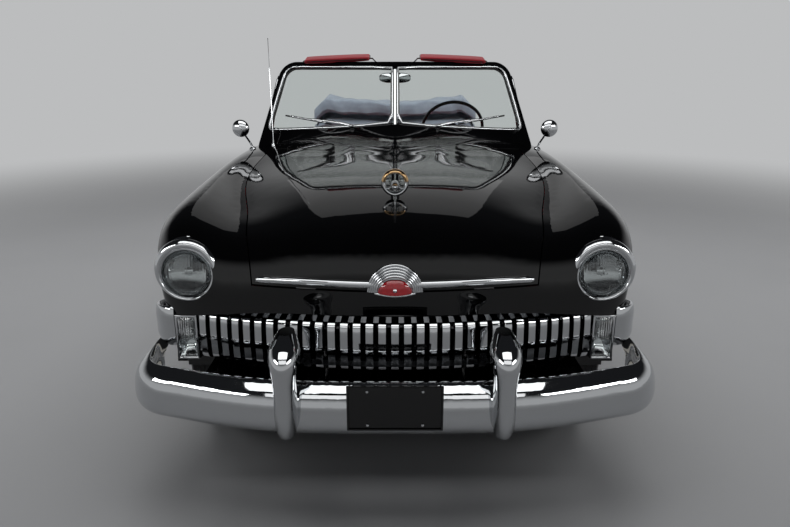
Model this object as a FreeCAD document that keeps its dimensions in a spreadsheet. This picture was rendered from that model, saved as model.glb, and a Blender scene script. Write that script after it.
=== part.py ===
import FreeCAD, Part
import math
import os

# Full-size convertible of about 1951, top folded down.
# X runs to the car's left, Y to the rear, Z up; the origin is on the floor under the middle of the car.

vector = FreeCAD.Vector
doc = FreeCAD.newDocument("convertible")

# Driving sizes in millimetres
sizes = {
    # whole car
    "overall_length": 5400,
    "front_overhang": 880,
    "wheel_base": 2997,
    "body_width": 1952,
    "belt_height": 1000,
    "front_track": 1486,
    "rear_track": 1524,
    # panels and fits
    "skin": 8,
    "panel_gap": 6,
    "door_gap": 8,
    "seat_gap": 0.3,
    "clearance": 12,
    "overrun": 40,
    # wheels and tyres
    "tyre_radius": 355,
    "tyre_width": 180,
    "rim_radius": 190,
    "rim_width": 140,
    "spindle_radius": 16,
    "bore_gap": 0.3,
    "hub_radius": 48,
    "cover_rise": 42,
    "kingpin_inset": 70,
    "kingpin_radius": 20,
    "kingpin_half": 118,
    "ball_joint_radius": 26,
    "ball_joint_height": 30,
    "arch_front_radius": 396,
    "arch_rear_radius": 392,
    "arch_rear_drop": 70,
    "wheelhouse_radius": 412,
    # frame and running gear
    "rail_centre": 375,
    "rail_width": 65,
    "rail_height": 100,
    "rail_bottom": 290,
    "rail_kick": 150,
    "floor_thick": 8,
    "rear_floor_rise": 150,
    "floor_inset": 201,
    "crossmember_depth": 70,
    "arm_half_width": 34,
    "arm_thick": 26,
    "axle_tube_radius": 42,
    "differential_radius": 135,
    "propshaft_radius": 32,
    "spring_centre": 480,
    "spring_width": 58,
    "spring_thick": 34,
    "spring_half_length": 640,
    "exhaust_radius": 26,
    "muffler_radius": 75,
    # engine bay
    "engine_half_width": 262,
    "engine_length": 760,
    "engine_height": 540,
    "engine_bottom": 345,
    "radiator_half_width": 300,
    "radiator_thick": 80,
    "radiator_height": 480,
    # nose
    "lamp_inset": 258,
    "lamp_drop": 203,
    "lamp_setback": 328,
    "lens_radius": 86,
    "lamp_rim_radius": 112,
    "lamp_rim_lift": 10,
    "lamp_brow": 26,
    "lamp_depth": 60,
    "lens_bulge": 24,
    "tooth_width": 25,
    "grille_end_gap": 8.2,
    "tooth_depth": 62,
    "tooth_thick": 22,
    "grille_bottom_drop": 538,
    "grille_top_drop": 348,
    "grille_setback": 227,
    "grille_sweep": 118,
    "carrier_thick": 20,
    "parking_lamp_inset": 228,
    "parking_lamp_width": 80,
    "parking_lamp_setback": 347,
    "plate_width": 311,
    "plate_height": 159,
    "plate_thick": 12,
    "plate_centre": 430,
    "plate_hole_width": 178,
    "plate_hole_height": 121,
    "plate_hole_radius": 3.5,
    "wrap_width": 98,
    "wrap_length": 205,
    "wrap_thick": 26,
    "wrap_height": 148,
    "wrap_drop": 486,
    # bumpers
    "bumper_setback": 62,
    "bumper_bottom": 314,
    "bumper_top": 490,
    "bumper_depth": 62,
    "bumper_inset": 30,
    "bumper_wrap": 440,
    "guard_centre": 350,
    "guard_width": 76,
    "guard_bottom": 338,
    "guard_top": 665,
    "guard_reach": 62,
    # windshield and fittings
    "windshield_base_inset": 238,
    "windshield_top_inset": 350,
    "windshield_base_centre": 883,
    "windshield_base_corner": 733,
    "windshield_top_centre": 683,
    "windshield_top_corner": 583,
    "glass_centre_rise": 184,
    "glass_corner_rise": 92,
    "glass_top_rise": 472,
    "frame_border": 34,
    "frame_depth": 34,
    "glass_thick": 6,
    "divider_half_width": 14,
    "vent_base_rise": 34,
    "vent_top_rise": 432,
    "vent_front": 690,
    "vent_rear": 430,
    "vent_top_front": 548,
    "vent_top_rear": 492,
    "vent_inset": 202,
    "vent_frame": 14,
    # cabin
    "door_front": 735,
    "door_length": 1295,
    "door_bottom": 300,
    "door_thick": 100,
    "door_swing": 60,
    "hinge_inset": 40,
    "hinge_setback": 120,
    "hinge_low": 500,
    "hinge_high": 740,
    "strap_reach": 116,
    "strap_height": 40,
    "strap_thick": 10,
    "eye_radius": 12,
    "pin_radius": 6,
    "pin_gap": 0.3,
    "swing_gap": 6,
    "link_thick": 8,
    "link_half_height": 8,
    "hood_hinge_place": 870,
    "hood_hinge_rise": 65,
    "hood_hinge_side": 300,
    "hood_link_reach": 360,
    "lid_hinge_setback": 1100,
    "lid_hinge_drop": 100,
    "lid_hinge_side": 400,
    "lid_link_reach": 200,
    "horn_setback": 140,
    "post_depth": 44,
    "flange_depth": 24,
    "sill_top": 294,
    "sill_depth": 58,
    "cowl_wing_inset": 673,
    "cowl_reach": 1180,
    "cowl_corner_inset": 263,
    "firewall_place": 1000,
    "pad_inset": 386,
    "pad_width": 30,
    "dash_depth": 170,
    "dash_drop": 110,
    "dash_inset": 286,
    "seat_inset": 286,
    "front_seat_start": 60,
    "seat_depth": 520,
    "seat_height": 175,
    "seat_back_thick": 150,
    "seat_back_drop": 60,
    "rear_seat_start": 800,
    "rear_seat_gap": 82,
    "rear_seat_depth": 420,
    "rear_cushion_height": 125,
    "trim_drop": 65,
    "steering_offset": 390,
    "steering_radius": 214,
    "steering_rim": 11,
    "steering_hub_rise": 86,
    "steering_setback": 70,
    "steering_angle": 30,
    "column_radius": 26,
    "top_pile_rise": 258,
    "top_pile_inset": 256,
    "top_pile_depth": 330,
    "side_trim_thick": 70,
    # tail
    "tank_half_width": 330,
    "tank_length": 420,
    "tank_height": 190,
    "tail_lamp_drop": 310,
    "tail_lamp_radius": 48,
    # small fittings
    "mirror_radius": 48,
    "mirror_stem_radius": 6,
    "antenna_rise": 632,
    "antenna_radius": 3,
    "ornament_radius": 54,
    "ornament_tube": 9,
    "lip_bar_radius": 11,
    "emblem_width": 187,
    "visor_width": 384,
    "visor_height": 130,
    "visor_thick": 24,
    "visor_gap": 280,
    "visor_place": 665,
    "mirror_foot_inset": 176,
    "mirror_foot_place": 800,
    "mirror_head_inset": 123,
    "mirror_head_place": 900,
    "mirror_head_rise": 157,
    "inside_mirror_place": 590,
    "inside_mirror_rise": 420,
    "antenna_inset": 281,
    "antenna_place": 795,
    "ornament_setback": 520,
    "wiper_pivot_side": 245,
    "wiper_pivot_place": 905,
    "tail_lamp_inset": 176,
    "tail_lamp_setback": 260,
    "wiper_radius": 5,
}

car = doc.addObject("Spreadsheet::Sheet", "car")
for row, (alias, value) in enumerate(sizes.items(), 1):
    car.set(f"A{row}", alias)
    car.set(f"B{row}", str(value))
    car.setAlias(f"B{row}", alias)
doc.recompute()

half_length = car.overall_length / 2
floor_low = car.rail_bottom + car.rail_height + car.seat_gap
half_width = car.body_width / 2
front_axle = car.front_overhang - half_length
rear_axle = front_axle + car.wheel_base
front_wheel_x = car.front_track / 2
rear_wheel_x = car.rear_track / 2

# Places across the car, measured in from the side of the body
lamp_centre = half_width - car.lamp_inset
parking_lamp_centre = half_width - car.parking_lamp_inset
windshield_base_width = half_width - car.windshield_base_inset
windshield_top_width = half_width - car.windshield_top_inset
floor_half_width = half_width - car.floor_inset
dash_half_width = half_width - car.dash_inset
top_pile_half_width = half_width - car.top_pile_inset
tail_lamp_side = half_width - car.tail_lamp_inset
mirror_foot_side = half_width - car.mirror_foot_inset
mirror_head_side = half_width - car.mirror_head_inset
antenna_side = half_width - car.antenna_inset
vent_place = half_width - car.vent_inset
cowl_wing = half_width - car.cowl_wing_inset
cowl_corner = half_width - car.cowl_corner_inset
bumper_half_width = half_width - car.bumper_inset
pad_place = half_width - car.pad_inset

# Places along the car, measured back from the front end or forward from the rear end
lamp_face = half_length - car.lamp_setback
grille_front = half_length - car.grille_setback
parking_lamp_face = half_length - car.parking_lamp_setback
bumper_front = half_length - car.bumper_setback
ornament_place = half_length - car.ornament_setback
tail_lamp_place = half_length - car.tail_lamp_setback

# Heights, measured from the belt line
lamp_height = car.belt_height - car.lamp_drop
grille_top = car.belt_height - car.grille_top_drop
grille_bottom = car.belt_height - car.grille_bottom_drop
tail_lamp_height = car.belt_height - car.tail_lamp_drop
dash_bottom = car.belt_height - car.dash_drop
glass_base_centre = car.belt_height + car.glass_centre_rise
glass_base_corner = car.belt_height + car.glass_corner_rise
glass_top = car.belt_height + car.glass_top_rise
vent_base_height = car.belt_height + car.vent_base_rise
vent_top = car.belt_height + car.vent_top_rise
antenna_top = car.belt_height + car.antenna_rise
mirror_head_height = car.belt_height + car.mirror_head_rise
inside_mirror_height = car.belt_height + car.inside_mirror_rise
steering_hub = car.belt_height + car.steering_hub_rise
top_pile_height = car.belt_height + car.top_pile_rise

# The same places as expressions over the sheet
front_axle_place = "(car.front_overhang - car.overall_length / 2)"
rear_axle_place = f"({front_axle_place} + car.wheel_base)"
rail_top_place = "(car.rail_bottom + car.rail_height)"
floor_low_place = "(car.rail_bottom + car.rail_height + car.seat_gap)"
floor_top_place = f"({floor_low_place} + car.floor_thick)"

pieces = []


# Helpers

def keep(item, label):
    item.Label = label
    pieces.append(item)
    return item


def box(name, x, y, z):
    item = doc.addObject("Part::Box", name)
    for side, axis, (low, high) in zip(("Length", "Width", "Height"), "xyz", (x, y, z)):
        item.setExpression(side, f"({high}) - ({low})")
        item.setExpression(f"Placement.Base.{axis}", low)
    return item


axis_turns = {
    "x": FreeCAD.Rotation(vector(0, 1, 0), 90),
    "y": FreeCAD.Rotation(vector(1, 0, 0), -90),
    "z": FreeCAD.Rotation(),
}


def rod(name, radius, length, axis, start):
    item = doc.addObject("Part::Cylinder", name)
    item.Placement = FreeCAD.Placement(vector(), axis_turns[axis])
    item.setExpression("Radius", radius)
    item.setExpression("Height", length)
    for letter, place in zip("xyz", start):
        item.setExpression(f"Placement.Base.{letter}", place)
    return item


def joined(name, items):
    item = doc.addObject("Part::MultiFuse", name)
    item.Shapes = items
    return item


def cut(name, base, tool):
    item = doc.addObject("Part::Cut", name)
    item.Base = base
    item.Tool = tool
    return item


def grouped(name, items):
    item = doc.addObject("Part::Compound", name)
    item.Links = items
    return item


def mirrored(name, source):
    item = doc.addObject("Part::Mirroring", name)
    item.Source = source
    item.Normal = vector(1, 0, 0)
    return item


def both_sides(name, source):
    return grouped(name, [source, mirrored(name + "_mirror", source)])


def shaped(name, shape):
    item = doc.addObject("Part::Feature", name)
    item.Shape = shape
    return item


def solid_box(x, y, z):
    return Part.makeBox(x[1] - x[0], y[1] - y[0], z[1] - z[0], vector(x[0], y[0], z[0]))


def mirror_copy(shape):
    return shape.mirror(vector(0, 0, 0), vector(1, 0, 0))


def pad_body(name, plane_role, outline, length, start):
    """A padded outline on one of the body's own origin planes, centred on that plane."""
    body = doc.addObject("PartDesign::Body", name)
    sketch = body.newObject("Sketcher::SketchObject", name + "_outline")
    planes = [feature for feature in body.Origin.OriginFeatures if feature.Role == plane_role]
    sketch.AttachmentSupport = [(planes[0], "")]
    sketch.MapMode = "FlatFace"
    for first, second in zip(outline, outline[1:] + outline[:1]):
        sketch.addGeometry(Part.LineSegment(vector(*first, 0), vector(*second, 0)), False)
    pad = body.newObject("PartDesign::Pad", name + "_pad")
    pad.Profile = sketch
    pad.Midplane = True
    pad.setExpression("Length", length)
    for letter, place in start.items():
        body.setExpression(f"Placement.Base.{letter}", place)
    return body


def turned_body(name, outline, places):
    """An outline of (radius, side) points turned about the X axis, then set at its place."""
    body = doc.addObject("PartDesign::Body", name)
    sketch = body.newObject("Sketcher::SketchObject", name + "_outline")
    planes = [feature for feature in body.Origin.OriginFeatures if feature.Role == "XY_Plane"]
    sketch.AttachmentSupport = [(planes[0], "")]
    sketch.MapMode = "FlatFace"
    for first, second in zip(outline, outline[1:] + outline[:1]):
        start = vector(first[1], first[0], 0)
        end = vector(second[1], second[0], 0)
        sketch.addGeometry(Part.LineSegment(start, end), False)
    turn = body.newObject("PartDesign::Revolution", name + "_turn")
    turn.Profile = sketch
    turn.ReferenceAxis = (sketch, ["H_Axis"])
    turn.Angle = 360
    for letter, place in places.items():
        body.setExpression(f"Placement.Base.{letter}", place)
    return body


# Master surface of the bodywork
# Each row runs from the bottom edge of the side over the shoulder to the centre line.
# x is a share of half the body width, y of half the length, z of the belt height.

def level_row(y_share, outline_shares):
    return [(x_share, y_share, z_share) for x_share, z_share in outline_shares]


body_row_shares = [
    [(0.800, -0.833, 0.600), (0.840, -0.840, 0.610), (0.850, -0.853, 0.622), (0.830, -0.865, 0.630),
     (0.768, -0.875, 0.636), (0.695, -0.882, 0.645), (0.605, -0.888, 0.656), (0.502, -0.893, 0.665),
     (0.379, -0.899, 0.670), (0.246, -0.907, 0.674), (0.113, -0.912, 0.675), (0.000, -0.913, 0.675)],
    [(0.845, -0.800, 0.520), (0.868, -0.825, 0.640), (0.876, -0.850, 0.745), (0.850, -0.870, 0.790),
     (0.784, -0.883, 0.800), (0.705, -0.887, 0.800), (0.610, -0.890, 0.790), (0.505, -0.896, 0.782),
     (0.380, -0.904, 0.776), (0.246, -0.915, 0.774), (0.113, -0.923, 0.774), (0.000, -0.926, 0.774)],
    [(0.855, -0.770, 0.480), (0.884, -0.795, 0.650), (0.893, -0.822, 0.800), (0.872, -0.850, 0.885),
     (0.800, -0.868, 0.930), (0.715, -0.873, 0.930), (0.617, -0.877, 0.905), (0.513, -0.884, 0.885),
     (0.387, -0.896, 0.888), (0.251, -0.910, 0.900), (0.113, -0.920, 0.907), (0.000, -0.922, 0.910)],
    [(0.865, -0.733, 0.430), (0.905, -0.758, 0.640), (0.914, -0.784, 0.800), (0.892, -0.808, 0.920),
     (0.812, -0.824, 0.978), (0.725, -0.834, 0.968), (0.635, -0.846, 0.936), (0.543, -0.858, 0.922),
     (0.405, -0.872, 0.948), (0.260, -0.884, 0.976), (0.115, -0.892, 0.992), (0.000, -0.894, 1.000)],
    level_row(-0.770, [(0.875, 0.360), (0.920, 0.600), (0.934, 0.780), (0.915, 0.920), (0.826, 1.002),
                       (0.745, 0.985), (0.670, 0.950), (0.585, 0.932), (0.445, 0.980), (0.290, 1.014),
                       (0.130, 1.030), (0.000, 1.036)]),
    level_row(-0.685, [(0.900, 0.300), (0.945, 0.500), (0.960, 0.700), (0.945, 0.880), (0.868, 1.000),
                       (0.785, 1.002), (0.722, 0.972), (0.655, 0.950), (0.505, 0.996), (0.328, 1.030),
                       (0.148, 1.045), (0.000, 1.050)]),
    level_row(-0.593, [(0.912, 0.260), (0.965, 0.440), (0.982, 0.640), (0.970, 0.850), (0.900, 0.985),
                       (0.828, 1.015), (0.772, 0.993), (0.715, 0.972), (0.555, 1.010), (0.360, 1.040),
                       (0.162, 1.053), (0.000, 1.057)]),
    level_row(-0.481, [(0.920, 0.245), (0.978, 0.420), (0.998, 0.620), (0.988, 0.820), (0.932, 0.965),
                       (0.868, 1.022), (0.805, 1.012), (0.740, 1.000), (0.590, 1.024), (0.382, 1.048),
                       (0.172, 1.060), (0.000, 1.063)]),
    level_row(-0.370, [(0.922, 0.240), (0.982, 0.410), (0.994, 0.600), (0.995, 0.800), (0.946, 0.950),
                       (0.885, 1.028), (0.800, 1.032), (0.720, 1.032), (0.590, 1.052), (0.390, 1.080),
                       (0.175, 1.095), (0.000, 1.100)]),
    level_row(-0.259, [(0.922, 0.238), (0.984, 0.405), (0.998, 0.590), (0.990, 0.785), (0.960, 0.940),
                       (0.895, 1.026), (0.800, 1.042), (0.708, 1.060), (0.590, 1.100), (0.392, 1.140),
                       (0.175, 1.158), (0.000, 1.164)]),
    level_row(-0.111, [(0.922, 0.236), (0.986, 0.400), (1.000, 0.585), (0.994, 0.770), (0.972, 0.920),
                       (0.910, 1.006), (0.815, 1.026), (0.718, 1.038), (0.595, 1.080), (0.394, 1.120),
                       (0.176, 1.138), (0.000, 1.143)]),
    level_row(0.037, [(0.922, 0.236), (0.986, 0.400), (1.000, 0.585), (0.996, 0.760), (0.980, 0.900),
                      (0.924, 0.980), (0.832, 1.000), (0.730, 1.006), (0.600, 1.040), (0.396, 1.070),
                      (0.176, 1.085), (0.000, 1.090)]),
    level_row(0.185, [(0.922, 0.236), (0.986, 0.400), (1.000, 0.590), (0.998, 0.760), (0.986, 0.885),
                      (0.925, 0.955), (0.835, 0.975), (0.728, 0.985), (0.595, 1.015), (0.390, 1.040),
                      (0.174, 1.052), (0.000, 1.056)]),
    level_row(0.333, [(0.922, 0.240), (0.986, 0.405), (1.002, 0.600), (1.002, 0.760), (0.988, 0.870),
                      (0.915, 0.940), (0.820, 0.968), (0.715, 0.980), (0.575, 1.006), (0.375, 1.028),
                      (0.168, 1.038), (0.000, 1.042)]),
    level_row(0.463, [(0.922, 0.260), (0.986, 0.420), (1.002, 0.610), (1.002, 0.760), (0.985, 0.865),
                      (0.900, 0.932), (0.800, 0.955), (0.700, 0.965), (0.552, 0.986), (0.355, 1.002),
                      (0.160, 1.010), (0.000, 1.013)]),
    level_row(0.593, [(0.917, 0.300), (0.980, 0.450), (0.995, 0.620), (0.995, 0.760), (0.970, 0.860),
                      (0.880, 0.917), (0.785, 0.928), (0.692, 0.924), (0.530, 0.938), (0.335, 0.950),
                      (0.150, 0.956), (0.000, 0.958)]),
    level_row(0.722, [(0.902, 0.350), (0.958, 0.480), (0.983, 0.630), (0.983, 0.755), (0.948, 0.850),
                      (0.850, 0.896), (0.755, 0.892), (0.675, 0.874), (0.508, 0.878), (0.318, 0.884),
                      (0.142, 0.887), (0.000, 0.888)]),
    level_row(0.833, [(0.876, 0.400), (0.927, 0.510), (0.951, 0.630), (0.948, 0.745), (0.912, 0.835),
                      (0.818, 0.872), (0.730, 0.848), (0.658, 0.802), (0.488, 0.800), (0.300, 0.803),
                      (0.130, 0.804), (0.000, 0.804)]),
    [(0.840, 0.896, 0.440), (0.891, 0.900, 0.530), (0.912, 0.902, 0.625), (0.904, 0.901, 0.725),
     (0.866, 0.900, 0.805), (0.784, 0.896, 0.832), (0.710, 0.893, 0.772), (0.646, 0.890, 0.700),
     (0.475, 0.898, 0.705), (0.290, 0.904, 0.707), (0.125, 0.907, 0.708), (0.000, 0.907, 0.708)],
    [(0.810, 0.926, 0.470), (0.855, 0.937, 0.540), (0.871, 0.943, 0.615), (0.861, 0.943, 0.695),
     (0.825, 0.941, 0.755), (0.758, 0.937, 0.762), (0.695, 0.930, 0.680), (0.636, 0.922, 0.610),
     (0.470, 0.933, 0.612), (0.286, 0.941, 0.614), (0.123, 0.944, 0.615), (0.000, 0.944, 0.615)],
    [(0.779, 0.937, 0.480), (0.820, 0.948, 0.520), (0.832, 0.956, 0.570), (0.820, 0.957, 0.620),
     (0.789, 0.956, 0.655), (0.738, 0.952, 0.640), (0.684, 0.943, 0.570), (0.630, 0.933, 0.530),
     (0.468, 0.943, 0.530), (0.282, 0.950, 0.530), (0.122, 0.954, 0.530), (0.000, 0.954, 0.530)],
]


def spread_knots(count):
    inner = count - 3
    knots = [index / inner for index in range(inner + 1)]
    return knots, [4] + [1] * (inner - 1) + [4]


def body_surface():
    rows = []
    for shares in body_row_shares:
        side = [vector(x * half_width, y * half_length, z * car.belt_height) for x, y, z in shares]
        other = [vector(-point.x, point.y, point.z) for point in side[:-1]]
        rows.append(other + side[::-1])
    row_knots, row_counts = spread_knots(len(rows))
    column_knots, column_counts = spread_knots(len(rows[0]))
    surface = Part.BSplineSurface()
    surface.buildFromPolesMultsKnots(rows, row_counts, column_counts, row_knots, column_knots,
                                     False, False, 3, 3)
    return surface


master = body_surface()


def patch(rows, columns):
    piece = master.copy()
    piece.segment(rows[0], rows[1], columns[0], columns[1])
    return piece.toShape()


offset_tolerance_share = 0.001


def skin_panel(rows, columns, thickness):
    return patch(rows, columns).makeOffsetShape(thickness, offset_tolerance_share * car.skin, fill=True)


def under_surface(rows, columns, gap, depth):
    """Everything from a little below the bodywork down to a depth."""
    face = patch(rows, columns)
    if gap:
        face = face.makeOffsetShape(gap, offset_tolerance_share * car.skin)
    return face.extrude(vector(0, 0, -depth))


def surface_height(x, y):
    """Height of the bodywork over a place in plan."""
    line = Part.makeLine(vector(x, y, car.belt_height / 2), vector(x, y, 2 * car.belt_height))
    meeting = patch((0, 1), (0, 1)).common(line)
    if not meeting.Edges:
        meeting = patch((0, 1), (0, 1)).section(line)
    return max(vertex.Z for vertex in meeting.Vertexes)


# Seams as shares of the master surface's own run
lip_share = 0.020
seam_share = 0.70
well_share = 0.77
deck_share = 0.65
door_top_share = 0.785
cabin_rows_share = (0.32, 0.72)
column_width = master.value(0.2, seam_share).distanceToPoint(master.value(0.2, seam_share - 0.05)) / 0.05
gap_share = car.panel_gap / column_width


def row_gap(row):
    """The panel gap as a share of the rows, at one row on the centre line."""
    length = master.value(row - 0.01, 0.5).distanceToPoint(master.value(row + 0.01, 0.5)) / 0.02
    return car.panel_gap / length


lip_gap_share = row_gap(lip_share)
deck_gap_share = row_gap(0.79)
skirt_gap_share = row_gap(0.985)

door_start = -car.door_front
door_end = door_start + car.door_length
wide = half_width + car.overrun
tall = 2 * car.belt_height


# Bumpers
# Each station is a share of the half width and of the run back round the corner.

bumper_plan_shares = [(0.00, 0.000), (0.38, 0.022), (0.62, 0.110), (0.78, 0.210), (0.90, 0.300),
                      (0.965, 0.430), (0.995, 0.620), (1.00, 1.000)]
# Each point of the section is a share of the depth behind the face and of the height.
bumper_section_shares = [(0.45, 0.00), (0.08, 0.14), (0.00, 0.42), (0.14, 0.70), (0.52, 0.92),
                         (1.00, 1.00), (1.12, 0.90), (0.78, 0.55), (0.66, 0.10)]


def swept_bar(path, spans, depth, section_shares):
    """A bar lofted along a path in plan. Each span is the lowest and highest point there."""
    sections = []
    for index, (point, (low, high)) in enumerate(zip(path, spans)):
        before = path[max(index - 1, 0)]
        after = path[min(index + 1, len(path) - 1)]
        along = (after - before).normalize()
        inward = vector(-along.y, along.x, 0)
        points = [point + inward * depth_share * depth + vector(0, 0, low + up_share * (high - low))
                  for depth_share, up_share in section_shares]
        curve = Part.BSplineCurve()
        curve.interpolate(Points=points, PeriodicFlag=True)
        sections.append(Part.Wire([curve.toShape()]))
    return Part.makeLoft(sections, True, False)


def bumper_bar():
    """The front bar, crowned in section and wrapped round both corners, with its face at Y zero."""
    half = [vector(x_share * bumper_half_width, back_share * car.bumper_wrap, 0)
            for x_share, back_share in bumper_plan_shares]
    path = [vector(-point.x, point.y, 0) for point in half[:0:-1]] + half
    return swept_bar(path, [(car.bumper_bottom, car.bumper_top)] * len(path), car.bumper_depth,
                     bumper_section_shares)


# Guard sections going up: width, depth and place of the front as shares of the guard's width and reach.
guard_section_shares = [(0.00, 0.72, 0.95, 0.30), (0.12, 0.92, 1.30, 0.02), (0.45, 0.96, 1.40, 0.00),
                        (0.66, 1.12, 1.45, 0.02), (0.82, 1.34, 1.70, 0.12), (0.93, 1.12, 1.60, 0.60),
                        (1.00, 0.70, 1.00, 1.50)]


def bumper_guard():
    sections = []
    for up_share, width_share, depth_share, back_share in guard_section_shares:
        depth = depth_share * car.guard_width / 2
        width = width_share * car.guard_width / 2
        centre = vector(car.guard_centre, back_share * car.guard_reach + depth,
                        car.guard_bottom + up_share * (car.guard_top - car.guard_bottom))
        if width > depth:
            ring = Part.Ellipse(centre, width, depth)
        else:
            ring = Part.Ellipse(centre + vector(0, depth, 0), centre + vector(width, 0, 0), centre)
        sections.append(Part.Wire([ring.toShape()]))
    return Part.makeLoft(sections, True, False)


bar_solid = bumper_bar()
bar_solid.translate(vector(0, -bumper_front, 0))
guard_solid = bumper_guard()
guard_solid.translate(vector(0, -half_length, 0))
front_bumper_solid = bar_solid.multiFuse([guard_solid, mirror_copy(guard_solid)])
keep(shaped("front_bumper", front_bumper_solid), "front_bumper")
rear_bumper_solid = front_bumper_solid.mirror(vector(0, 0, 0), vector(0, 1, 0))
keep(shaped("rear_bumper", rear_bumper_solid), "rear_bumper")

plate_back = bar_solid.optimalBoundingBox().YMin - car.seat_gap
plate_solid = solid_box((-car.plate_width / 2, car.plate_width / 2),
                        (plate_back - car.plate_thick, plate_back),
                        (car.plate_centre - car.plate_height / 2, car.plate_centre + car.plate_height / 2))
for across in (-car.plate_hole_width / 2, car.plate_hole_width / 2):
    for up in (-car.plate_hole_height / 2, car.plate_hole_height / 2):
        hole_place = vector(across, plate_back - 2 * car.plate_thick, car.plate_centre + up)
        hole = Part.makeCylinder(car.plate_hole_radius, 3 * car.plate_thick, hole_place, vector(0, 1, 0))
        plate_solid = plate_solid.cut(hole)
keep(shaped("front_plate", plate_solid), "front_plate")


# Chassis frame

def rail_outline():
    low = car.rail_bottom
    high = low + car.rail_height
    kick = car.rail_kick
    front = -bumper_front + car.bumper_depth + car.clearance
    rear = -front - car.clearance
    reach = car.wheelhouse_radius
    slope = reach / 2
    top = [(front, high), (rear_axle - reach, high), (rear_axle - slope, high + kick),
           (rear_axle + slope, high + kick), (rear_axle + reach, high), (rear, high)]
    return top + [(y, z - car.rail_height) for y, z in reversed(top)]


rail = pad_body("rail", "YZ_Plane", rail_outline(), "car.rail_width", {"x": "car.rail_centre"})
rail_pair = [rail, mirrored("rail_mirror", rail)]
inner_rail = "(car.rail_centre - car.rail_width / 2)"
outer_rail = "(car.rail_centre + car.rail_width / 2)"
engine_start = f"({front_axle_place} - car.engine_half_width / 3)"
radiator_start = f"({engine_start} - car.radiator_thick - 6 * car.clearance)"
cross_top_place = "(car.rail_bottom + car.crossmember_depth / 3)"
cross_places = {
    "front_cross": radiator_start,
    "gearbox_cross": f"{front_axle_place} + car.wheel_base / 2",
    "kick_cross": f"{rear_axle_place} - car.spring_half_length",
    "tank_cross": f"{rear_axle_place} + car.spring_half_length",
}
cross_members = []
for cross_name, place in cross_places.items():
    member = box(cross_name, (f"-{inner_rail}", inner_rail), (place, f"{place} + car.rail_width"),
                 ("car.rail_bottom", cross_top_place))
    cross_members.append(member)
outriggers = []
for side_name, place in (("cowl_outrigger", "-car.door_front"),
                         ("door_outrigger", "-car.door_front + car.door_length")):
    arm = box(side_name, (outer_rail, "(car.body_width / 2 - car.floor_inset)"),
              (place, f"{place} + car.rail_width"),
              ("car.rail_bottom + car.rail_height / 2", rail_top_place))
    outriggers += [arm, mirrored(side_name + "_mirror", arm)]
engine_mount = box("engine_mount", ("car.engine_half_width + car.seat_gap", inner_rail),
                   (f"{engine_start} + car.engine_length / 4", f"{engine_start} + car.engine_length / 2"),
                   ("car.engine_bottom", rail_top_place))
spring_low = "(car.tyre_radius - car.axle_tube_radius - car.spring_thick)"
spring_top = "(car.tyre_radius - car.axle_tube_radius + car.spring_thick / 4)"
hangers = []
for hanger_name, place in (("front_hanger", f"{rear_axle_place} - car.spring_half_length"),
                           ("rear_hanger", f"{rear_axle_place} + car.spring_half_length - car.spring_width")):
    hangers.append(box(hanger_name, (outer_rail, "car.spring_centre + car.spring_width / 2"),
                       (place, f"{place} + car.spring_width"),
                       (f"{spring_top} + car.seat_gap", f"{spring_top} + car.spring_thick")))


def bumper_bracket(bumper, direction):
    """A block from the rail's end to the back of the bumper."""
    reach = bumper_front - 0.3 * car.bumper_depth
    start = direction * (bumper_front - 2 * car.bumper_depth)
    y_range = sorted((start, direction * reach))
    block = solid_box((car.rail_centre - car.rail_width / 3, car.rail_centre + car.rail_width / 3), y_range,
                      (car.bumper_bottom + car.clearance, car.rail_bottom + car.rail_height))
    solids = block.cut(bumper).Solids
    return min(solids, key=lambda solid: abs(solid.CenterOfMass.y))


brackets = [shaped("front_bracket", bumper_bracket(front_bumper_solid, -1)),
            shaped("rear_bracket", bumper_bracket(rear_bumper_solid, 1))]
one_sided = [engine_mount] + hangers + brackets
one_sided += [mirrored(item.Name + "_mirror", item) for item in one_sided]
keep(joined("chassis_frame", rail_pair + cross_members + outriggers + one_sided), "chassis_frame")


# Floor

def floor_outline():
    low = floor_low
    high = low + car.rear_floor_rise
    front = -car.firewall_place + car.skin + car.seat_gap
    step = rear_axle - car.wheelhouse_radius - car.clearance
    rear = half_length - car.front_overhang / 2
    top = [(front, low + car.floor_thick), (step, low + car.floor_thick), (step, high + car.floor_thick),
           (rear, high + car.floor_thick)]
    bottom = [(rear, high), (step + car.floor_thick, high), (step + car.floor_thick, low), (front, low)]
    return top + bottom


floor_plate = pad_body("floor_plate", "YZ_Plane", floor_outline(),
                       "2 * (car.body_width / 2 - car.floor_inset)", {})
house_width = "car.rear_track / 2 - car.tyre_width / 2 - 4 * car.clearance"
floor_notch = box("floor_notch", (f"{house_width} - car.clearance", "car.body_width"),
                  (f"{rear_axle_place} - car.wheelhouse_radius - car.skin - car.seat_gap",
                   f"{rear_axle_place} + car.wheelhouse_radius + car.skin + car.seat_gap"),
                  (f"{floor_top_place} + car.seat_gap", "2 * car.belt_height"))
floor_notches = joined("floor_notches", [floor_notch, mirrored("floor_notch_mirror", floor_notch)])
keep(cut("floor_pan", floor_plate, floor_notches), "floor_pan")


# Gooseneck links of the hood and the trunk lid

# Bends of each link along the car and upward, as shares of its reach from the pin.
hood_link_shares = [(0, 0), (-0.25, -0.65), (-0.61, -0.79), (-1.00, -0.51), (-0.96, 0)]
lid_link_shares = [(0, 0), (0.20, -0.50), (0.60, -0.50), (1.00, 0)]


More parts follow.
